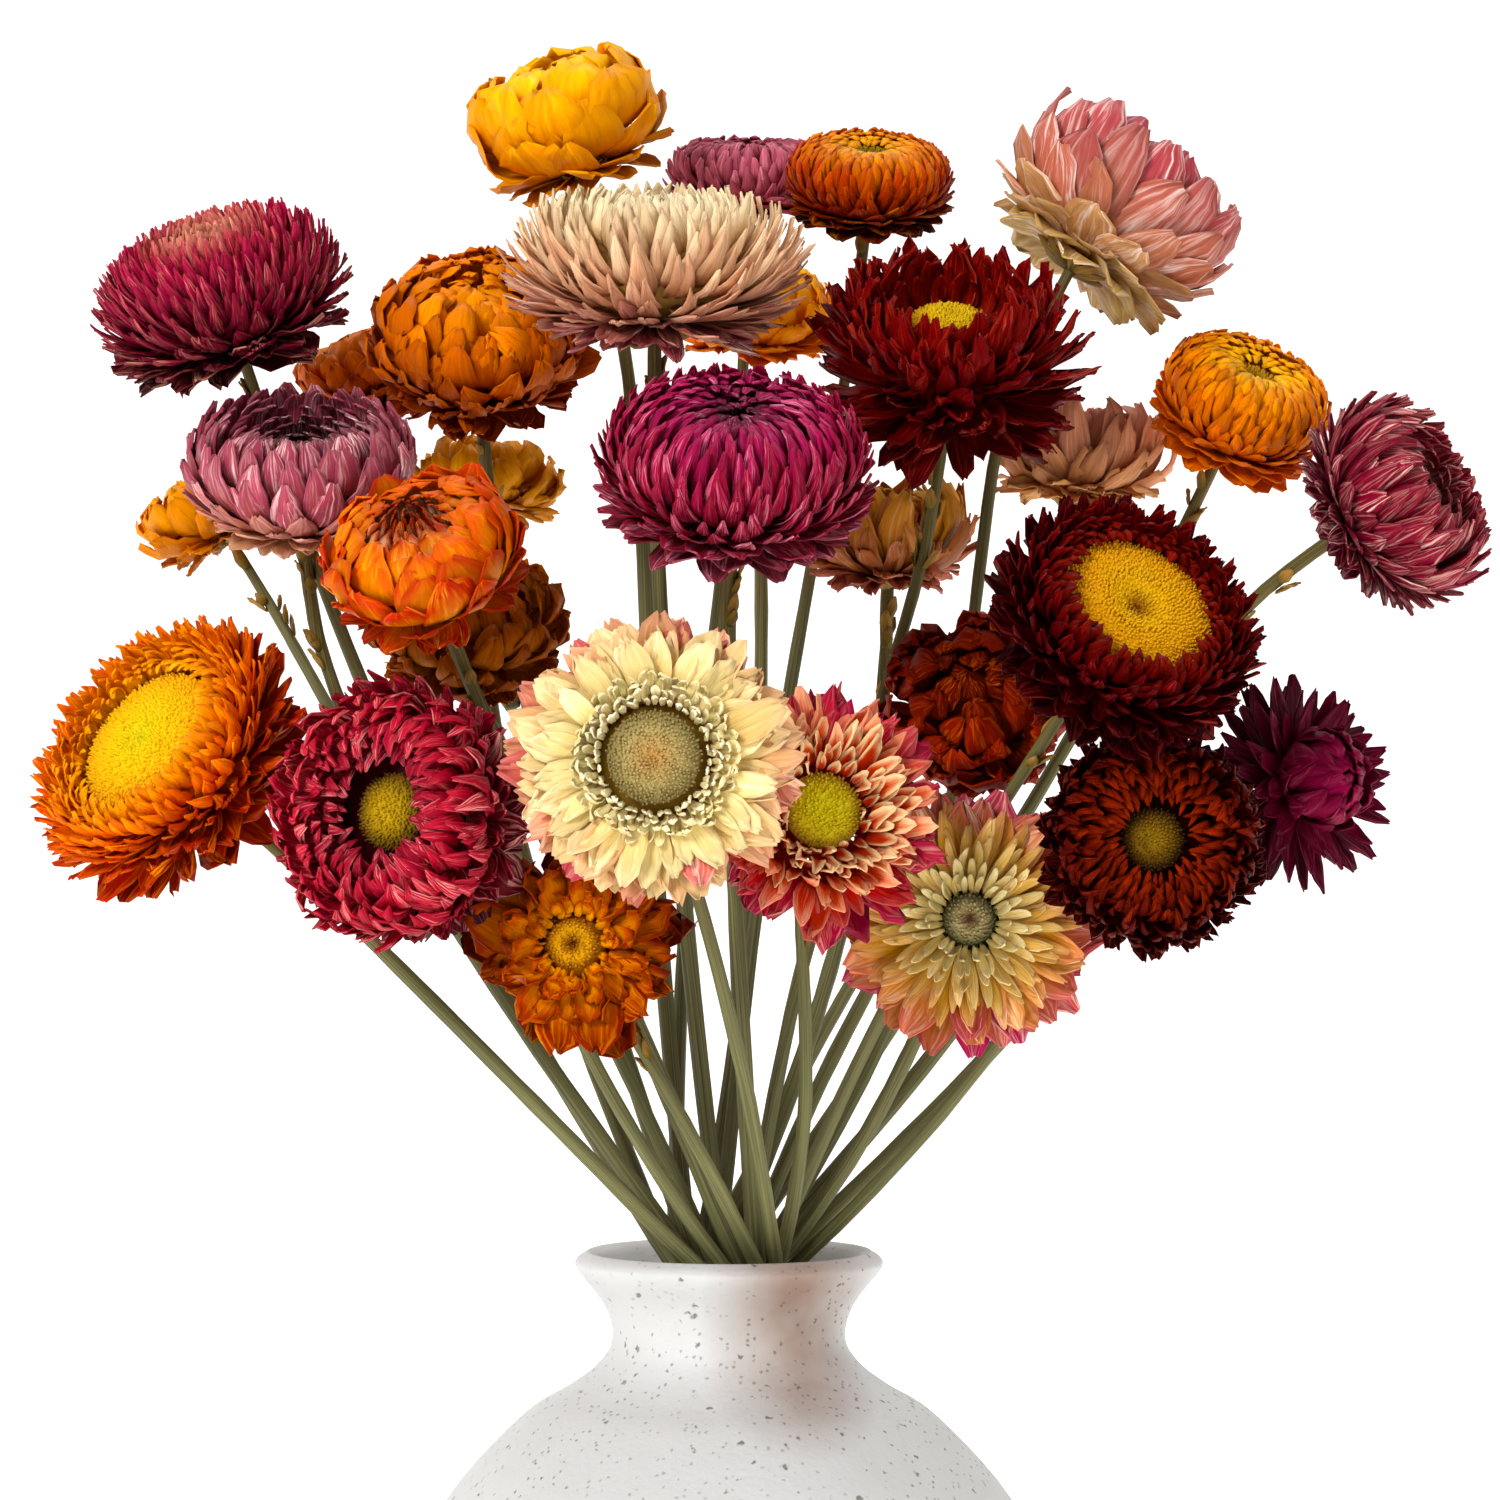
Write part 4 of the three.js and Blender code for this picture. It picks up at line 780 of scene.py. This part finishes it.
# %% The thirty heads
# Each line gives the CAD part's number, slot, radius in mm, height as a share of that, place in mm
# and axis. Then come the form, the bracts of a row, the rows, the bract width in mm, how rounded the
# tips are and how unruly the bracts.
HEADS = [
    (1, "gold", 17.4, 1.25, (-28, 30, 313.5), (-0.3, -0.25, 0.92), "clasp", 7, 9, 12.0, 0.85, 0.5),
    (2, "mauve", 15.2, 0.95, (3.5, 54, 307), (0, -0.2, 0.98), "cushion", 26, 11, 2.6, 0.5, 0.5),
    (3, "orange_red", 14.8, 1.05, (24, 28, 303.5), (0.05, -0.38, 0.92), "cushion", 32, 14, 2.2, 0.7, 0.25),
    (4, "peach", 26.3, 0.98, (-12, -12, 285), (0.02, -0.2, 0.98), "mop", 36, 15, 3.2, 0.2, 0.75),
    (5, "pink", 22, 1.15, (65.5, 16, 296.5), (0.62, 0.08, 0.78), "goblet", 9, 11, 10.0, 0.95, 0.4),
    (6, "crimson", 22.2, 1.1, (-85.5, 8, 282.5), (-0.28, -0.34, 0.9), "brush", 38, 19, 2.4, 0.35, 0.6),
    (7, "orange", 19.4, 1.15, (-42.5, 14, 275), (0, -0.6, 0.8), "dome", 18, 15, 5.0, 0.85, 0.9),
    (8, "orange", 13.8, 1, (-63.5, 38, 270.5), (-0.35, -0.15, 0.92), "dome", 14, 8, 4.6, 0.9, 0.8),
    (9, "orange", 14.5, 1, (5, 36, 281), (0, -0.2, 0.98), "dome", 14, 9, 5.2, 0.8, 0.7),
    (10, "maroon", 23.6, 1.35, (36, -14, 272), (0.02, -0.5, 0.87), "tufted", 22, 13, 4.6, 0.5, 1.2),
    (11, "mauve", 19.4, 1.05, (-70.5, -10, 251), (0.02, -0.4, 0.92), "bowl", 18, 14, 5.2, 0.75, 0.35),
    (12, "gold", 13.5, 1, (-89, 23.5, 246.5), (-0.55, -0.05, 0.83), "clasp", 10, 8, 6.0, 0.8, 0.8),
    (13, "gold", 13.5, 0.95, (-42, 44, 252.5), (0.1, 0.1, 0.99), "clasp", 11, 8, 5.6, 0.8, 0.8),
    (14, "orange_red", 17.4, 1, (-48.5, -38, 235.5), (-0.22, -0.62, 0.75), "bud", 8, 14, 9.0, 0.8, 0.4),
    (15, "rust", 17.2, 1, (-43, -10, 226.5), (0.05, -0.6, 0.79), "dome", 15, 9, 5.0, 0.7, 1.0),
    (16, "magenta", 23, 1, (1, -36, 251), (0.05, -0.5, 0.86), "heap", 36, 15, 2.5, 0.6, 0.4),
    (17, "peach", 16, 1.1, (60.5, 30, 256.5), (0.12, -0.05, 0.99), "goblet", 14, 9, 5.0, 0.5, 0.9),
    (18, "peach", 15.2, 1.15, (27, 20, 242), (0, -0.08, 1), "goblet", 13, 9, 5.2, 0.6, 0.9),
    (19, "orange", 15.2, 1.3, (87, 14, 264), (0.34, -0.5, 0.8), "cushion", 32, 14, 2.3, 0.8, 0.35),
    (20, "crimson", 18.8, 1.05, (110, -8, 246), (0.8, -0.42, 0.42), "goblet", 20, 13, 4.8, 0.8, 0.3),
    (21, "maroon", 23.2, 1, (63.5, -50, 226.5), (0.36, -0.74, 0.57), "ruff", 30, 16, 3.2, 0.5, 0.8),
    (22, "rust", 15.8, 1.15, (41, -14, 213), (-0.12, -0.86, 0.5), "dome", 10, 11, 6.6, 0.7, 1.3),
    (23, "maroon", 18.6, 1, (67, -48, 191.2), (0.1, -0.98, 0.12), "rolled", 40, 15, 1.7, 0.5, 0.8),
    (24, "plum", 18.6, 1, (95.5, -16, 200), (0.6, -0.78, 0.15), "star", 14, 10, 3.8, 0.35, 0.5),
    (25, "orange", 25.4, 1.05, (-93, -20, 205.5), (-0.58, -0.62, 0.53), "ruff", 36, 16, 3.2, 0.4, 0.8),
    (26, "crimson", 22, 1.05, (-53, -46, 195.5), (-0.5, -0.86, 0.1), "rolled", 32, 14, 2.9, 0.45, 0.9),
    (27, "cream", 23, 0.9, (-11, -80, 204), (-0.03, -0.99, 0.12), "strap", 26, 10, 6.0, 0.95, 1.2),
    (28, "coral", 21.4, 0.95, (14.5, -58, 195.5), (0.2, -0.93, 0.28), "hooked", 20, 12, 4.0, 0.7, 1.6),
    (29, "orange", 18.3, 0.9, (-24.5, -42, 174.5), (-0.05, -0.99, 0.12), "frilly", 13, 10, 5.8, 1.0, 2.0),
    (30, "cream", 22.4, 0.85, (38.5, -34, 178), (0.05, -0.98, 0.16), "ray", 24, 11, 3.6, 0.85, 0.8),
]
blooms = [flower_head(*head, FINISHES[head[0]]) for head in HEADS]
print("heads:", len(blooms), "faces:", sum(len(b.data.polygons) for b in blooms))

# %% [markdown]
# ## The disc of florets
# The middle of an open head is a disc of hundreds of tiny tube florets, set in spirals. Each is a
# short five-sided cone on a low dome, which dips in the middle where the florets are still closed.
# They stand at the golden angle from one another, which is how the plant packs them. The florets are
# downy and dull, and their colour changes from the middle of the disc to its edge.

# %% Floret finish
def downy(name, middle, ring, edge, bend=0.45):
    material, tree, shader = new_material("downy_florets_" + name, {
        "Roughness": 0.85, "Specular IOR Level": 0.1})
    far = add(tree, "Attribute", attribute_name="far").outputs["Fac"]
    tint = add(tree, "Attribute", attribute_name="tint").outputs["Fac"]
    made = add(tree, "ValToRGB", {"Fac": far})
    stops = made.color_ramp.elements
    stops[0].color = linear(middle)
    stops[1].color = linear(edge)
    stops.new(bend).color = linear(ring)
    level = add(tree, "MapRange", {"Value": tint, "To Min": 0.92, "To Max": 1.06})
    final = add(tree, "HueSaturation", {"Color": made.outputs[0], "Value": level.outputs[0]})
    tree.links.new(final.outputs[0], shader.inputs["Base Color"])
    return material


# %% Discs
FLORET_FOOT = 0.32 * MM
FLORET_TIP = 0.16 * MM
FLORET_HEIGHT = 1.0 * MM
FLORET_SPACING = 0.5
FLORET_DENSITY = 2.4
FLORET_STRAY = 0.12
DISC_CROWN = 0.08
DIP_NARROWNESS = 2.2


def new_floret():
    cone = bmesh.new()
    for name in ("far", "tint"):
        cone.verts.layers.float.new(name)
    bmesh.ops.create_cone(cone, cap_ends=True, segments=5, radius1=FLORET_FOOT, radius2=FLORET_TIP,
                          depth=FLORET_HEIGHT)
    floret = bpy.data.meshes.new("floret")
    cone.to_mesh(floret)
    cone.free()
    return floret


def disc(number, slot, radius, tall, centre, axis, share, height, dip, finish):
    chance = random.Random(number)
    head = head_place(centre, axis)
    wide = share * radius

    def level(far):
        dome = DISC_CROWN * (1 - far ** 2) - dip * max(0, 1 - far * DIP_NARROWNESS)
        return height * radius * tall + dome * radius

    bm = bmesh.new()
    far_value, tint = [bm.verts.layers.float.new(name) for name in ("far", "tint")]
    bmesh.ops.create_uvsphere(bm, u_segments=24, v_segments=16, radius=1)
    for v in bm.verts:
        far = math.hypot(v.co.x, v.co.y)
        v[far_value] = far
        v[tint] = 0.5
        v.co = Vector((v.co.x * wide, v.co.y * wide, level(far) + min(0, v.co.z))) * MM
    bmesh.ops.transform(bm, matrix=head, verts=bm.verts)
    floret = new_floret()
    total = int((wide / FLORET_SPACING) ** 2 * FLORET_DENSITY)
    for i in range(total):
        far = math.sqrt((i + 0.5) / total)
        turn = i * GOLDEN_ANGLE
        spot = Vector((far * wide * math.cos(turn), far * wide * math.sin(turn), level(far)))
        stray = Vector([chance.gauss(0, FLORET_STRAY) for _ in range(3)])
        hinge = Vector((-math.sin(turn), math.cos(turn), 0))
        lean = Matrix.Rotation(0.5 * far + chance.gauss(0, 0.15), 4, hinge)
        copy = floret.copy()
        copy.transform(head @ Matrix.Translation((spot + stray) * MM) @ lean)
        set_values(copy, far=far, tint=chance.random())
        bm.from_mesh(copy)
        bpy.data.meshes.remove(copy)
    bpy.data.meshes.remove(floret)
    return piece(f"disc_{number:02d}", bm, [finish])


# %% Place the discs
# Each line gives the head, the disc's radius and height as shares of the head's, how deep its middle
# dips, and its finish: the colours of the middle, of a ring and of the edge, and where that ring lies.
by_number = {head[0]: head[:6] for head in HEADS}
DISCS = [
    (3, 0.30, 0.24, 0.08, downy("olive", "#3c4008", "#8c7408", "#e08c08")),
    (10, 0.27, 0.12, 0.02, downy("yellow", "#c4a008", "#dcb80a", "#b07c08")),
    (19, 0.30, 0.24, 0.08, downy("amber", "#50500a", "#b88808", "#ee9408")),
    (21, 0.54, 0.10, 0.12, downy("lemon", "#803006", "#d8a804", "#d89404", 0.25)),
    (23, 0.27, 0.01, 0.04, downy("olive_yellow", "#907408", "#7c5806", "#281004")),
    (25, 0.50, 0.10, 0.05, downy("green_yellow", "#d8c808", "#ecc804", "#f0b004")),
    (26, 0.28, 0.00, 0.02, downy("khaki_yellow", "#c09c0c", "#b08c08", "#4c2c08")),
    (27, 0.31, 0.08, 0.05, downy("beige", "#c09450", "#b09c60", "#7c6c3c", 0.6)),
    (28, 0.29, 0.06, 0.03, downy("lime_yellow", "#e4d810", "#d8c41c", "#a87820", 0.7)),
    (29, 0.22, 0.06, 0.12, downy("brass_yellow", "#702806", "#dca000", "#8c4c04", 0.6)),
    # The dark olive edge of this disc is painted shade between the feet of the rays.
    (30, 0.19, 0.07, 0.05, downy("brown_khaki", "#5c2c14", "#c0b078", "#28300c", 0.5)),
]
discs = [disc(*by_number[n], share, height, dip, finish) for n, share, height, dip, finish in DISCS]
print("discs:", len(discs), "faces:", sum(len(d.data.polygons) for d in discs))

# %% [markdown]
# ## Stems
# A dried stem is a ribbed straw. The CAD part holds each one as a plain five-sided stick, so its
# line is read off that solid: starting from the five corners at the back of the head, the corners
# next to the last ring make the next ring, and the middle of each ring is a point of the line. A
# forked stick is read from its foot up to the fork and from both heads down to it.
#
# The fine stem is a ring of fourteen corners, in and out by turns for the seven ribs, that is
# extruded from point to point along that line. It is thickest at the foot and swells a little under
# the head. There it bears small brown scales, and two whorls of them hide the joint.

# %% Read a stem's line off its CAD solid
CAD_SIDES = 5


def near_ring(bm, spot):
    return set(sorted(bm.verts, key=lambda v: (v.co - spot).length)[:CAD_SIDES])


def ring_middles(ring):
    seen, line = set(), []
    while len(ring) == CAD_SIDES:
        line.append(sum((v.co for v in ring), Vector()) / CAD_SIDES)
        seen |= ring
        ring = {e.other_vert(v) for v in ring for e in v.link_edges} - seen
    return line


# %% Where a stem meets its head
# The back of a CAD head lies this far below its centre, as a share of its height, and the stem ends
# a small gap below that. The fine stem runs on into the head.
USUAL_BACK = 0.44
BACKS = {1: 0.47, 4: 0.47, 5: 0.47, 11: 0.47, 13: 0.47, 17: 0.47, 18: 0.47, 24: 0.4}
SEAT_GAP = 0.3
INTO_HEAD = 0.12


def seat(number, inward=0.0):
    _, _, radius, tall, centre, axis = by_number[number]
    depth = (BACKS.get(number, USUAL_BACK) - inward) * radius * tall + SEAT_GAP
    return (Vector(centre) - Vector(axis).normalized() * depth) * MM


def heads_on(stem):
    return [int(part) for part in stem.split("_")[1:]]


def stem_lines(name):
    bm = bmesh.new()
    bm.from_mesh(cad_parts[name].data)
    bmesh.ops.remove_doubles(bm, verts=bm.verts, dist=1e-6)
    tops = [ring_middles(near_ring(bm, seat(n)))[::-1] + [seat(n, INTO_HEAD)] for n in heads_on(name)]
    if len(tops) == 1:
        lines = tops
    else:
        low = min(v.co.z for v in bm.verts)
        main = ring_middles({v for v in bm.verts if v.co.z < low + 1e-5}) + tops[0]
        joint = min(main, key=lambda p: (p - tops[1][0]).length)
        lines = [main, [joint] + tops[1]]
    bm.free()
    return lines


STEMS = sorted(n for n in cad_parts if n.startswith("stem_"))
lines = {name: stem_lines(name) for name in STEMS}
print("stems:", len(lines), "points:", [len(line) for found in lines.values() for line in found])

# %% Dry stem finish
# Dry straw is dull olive that browns towards the head, with pale and dark fibres along it. Each stem
# has dried to its own shade, which a sine draws from its number.
straw, tree, shader = new_material("dry_ribbed_straw", {"Roughness": 0.6, "Specular IOR Level": 0.25})
up = add(tree, "Attribute", attribute_name="along").outputs["Fac"]
about = add(tree, "Attribute", attribute_name="across").outputs["Fac"]
own = add(tree, "Attribute", attribute_name="tint").outputs["Fac"]
drying = add(tree, "ValToRGB", {"Fac": up})
stops = drying.color_ramp.elements
stops[0].color = linear("#6a6844")
stops[1].color = linear("#5c4820")
stops.new(0.55).color = linear("#605e38")
stops.new(0.85).color = linear("#5a4f24")
where = add(tree, "CombineXYZ", {"X": about, "Y": up, "Z": own})
stretch = add(tree, "VectorMath", {0: where.outputs[0], 1: (9.0, 4.0, 20.0)}, operation="MULTIPLY")
fibre = add(tree, "TexNoise", {"Vector": stretch.outputs[0], "Scale": 2.0, "Detail": 4.0})
level = add(tree, "MapRange", {"Value": fibre.outputs["Fac"], "From Min": 0.3, "From Max": 0.7,
                               "To Min": 0.35, "To Max": 1.5})
turned = add(tree, "Math", {0: own, 1: 97.0}, operation="SINE")
paler = add(tree, "Math", {0: turned.outputs[0], 1: 0.42, 2: level.outputs[0]}, operation="MULTIPLY_ADD")
final = add(tree, "HueSaturation", {"Color": drying.outputs[0], "Value": paler.outputs[0]})
tree.links.new(final.outputs[0], shader.inputs["Base Color"])
bump = add(tree, "Bump", {"Height": fibre.outputs["Fac"], "Strength": 0.5, "Distance": 0.0003})
tree.links.new(bump.outputs[0], shader.inputs["Normal"])
scaly = papery("brown_scales", ["#5c4a20", "#7a6430"], ["#8c6c3c", "#a8804c"], "#c8a870")

# %% Extrude the ribbed stems
RIBS = 7
RIB_DEPTH = 0.12
LINE_STEPS = 5
FOOT_SIZE = 1.32
TAPER = 0.52
UNEVEN = 0.05
SWELL = 0.7
SWELL_START = 0.95


def ribbed_stem(bm, line, thick, number):
    points = smooth_line(line, LINE_STEPS)
    along_value, across, tint = [bm.verts.layers.float.get(n) for n in ("along", "across", "tint")]
    total = len(points) - 1
    chance = random.Random(100 + number)
    ring = bmesh.ops.create_circle(bm, cap_ends=True, segments=2 * RIBS, radius=1)["verts"]
    for i, v in enumerate(ring):
        v.co *= 1 - RIB_DEPTH * (i % 2)
        v[across] = i / RIBS if i <= RIBS else 2 - i / RIBS
        v[tint] = number / len(HEADS)
    edges = list({e for v in ring for e in v.link_edges})
    last = Matrix.Identity(4)
    for i, point in enumerate(points):
        along = i / total
        ahead = (points[min(i + 1, total)] - points[max(i - 1, 0)]).normalized()
        swell = SWELL * max(0, along - SWELL_START) / (1 - SWELL_START)
        wide = thick * (FOOT_SIZE - TAPER * along + UNEVEN * chance.uniform(-1, 1)) + swell
        now = facing(point, ahead) @ Matrix.Scale(wide * MM, 4)
        if i:
            ring, edges = extruded(bm, edges)
        bmesh.ops.transform(bm, matrix=now @ last.inverted(), verts=ring)
        for v in ring:
            v[along_value] = along
        last = now
    bmesh.ops.edgeloop_fill(bm, edges=edges)


# %% Brown scales near the head
WHORLS = 2
SCALES_IN_WHORL = 9
FEWEST_LOOSE = 6
MOST_LOOSE = 10
SCALY_LENGTH = 30 * MM
SCALE_WIDTH = 2.0 * MM
WHORL_SCALE_WIDTH = 2.4 * MM
WHORL_RADIUS = 0.8 * MM


def place_scale(bm, chance, matrix, length, width, curl):
    scale, _ = bract_blade(chance, length, width, curl, 0.3, 0.25, 0.2)
    scale.transform(matrix)
    set_values(scale, layer=chance.random(), tint=chance.random())
    scale.polygons.foreach_set("material_index", [1] * len(scale.polygons))
    bm.from_mesh(scale)
    bpy.data.meshes.remove(scale)


def down_from_head(line, down):
    for a, b in zip(line[::-1], line[-2::-1]):
        if down < (a - b).length:
            return a + (b - a).normalized() * down, a - b
        down -= (a - b).length
    return line[-1], line[-1] - line[-2]


def scales(bm, line, thick, number):
    chance = random.Random(200 + number)
    _, _, radius, _, _, axis = by_number[number]
    throat = facing(seat(number, -0.01), Vector(axis))
    for i in range(WHORLS * SCALES_IN_WHORL):
        turn = 2 * math.pi * i / SCALES_IN_WHORL + chance.uniform(-0.2, 0.2)
        rise = math.radians(35 - 25 * (i // SCALES_IN_WHORL)) + chance.gauss(0, 0.15)
        out = Matrix.Rotation(turn, 4, "Z") @ Matrix.Translation((WHORL_RADIUS, 0, 0))
        spot = throat @ out @ Matrix.Rotation(-rise, 4, "Y")
        place_scale(bm, chance, spot, chance.uniform(0.28, 0.4) * radius * MM, WHORL_SCALE_WIDTH, 0.3)
    for _ in range(chance.randint(FEWEST_LOOSE, MOST_LOOSE)):
        point, ahead = down_from_head(line, chance.uniform(0.5, 1) ** 2 * SCALY_LENGTH)
        around = Matrix.Rotation(chance.uniform(0, 2 * math.pi), 4, "Z")
        lean = Matrix.Rotation(-math.radians(chance.uniform(68, 86)), 4, "Y")
        out = Matrix.Translation((thick * 0.8 * MM, 0, 0))
        spot = facing(point, ahead) @ around @ out @ lean
        place_scale(bm, chance, spot, chance.uniform(2.5, 5) * MM, SCALE_WIDTH, -0.3)


# %% Build the stems
SIDE_STEM = 0.75
thicknesses = random.Random(77)
stems = []
for name in STEMS:
    bm = bmesh.new()
    for field in BRACT_VALUES:
        bm.verts.layers.float.new(field)
    thick = thicknesses.uniform(1.05, 1.4)
    for branch, number in enumerate(heads_on(name)):
        line = lines[name][branch]
        ribbed_stem(bm, line, thick * (SIDE_STEM if branch else 1), number)
        scales(bm, line, thick * 0.8, number)
    bmesh.ops.recalc_face_normals(bm, faces=bm.faces)
    stems.append(piece("straw_" + name, bm, [straw, scaly], [name]))
print("stem faces:", sum(len(s.data.polygons) for s in stems))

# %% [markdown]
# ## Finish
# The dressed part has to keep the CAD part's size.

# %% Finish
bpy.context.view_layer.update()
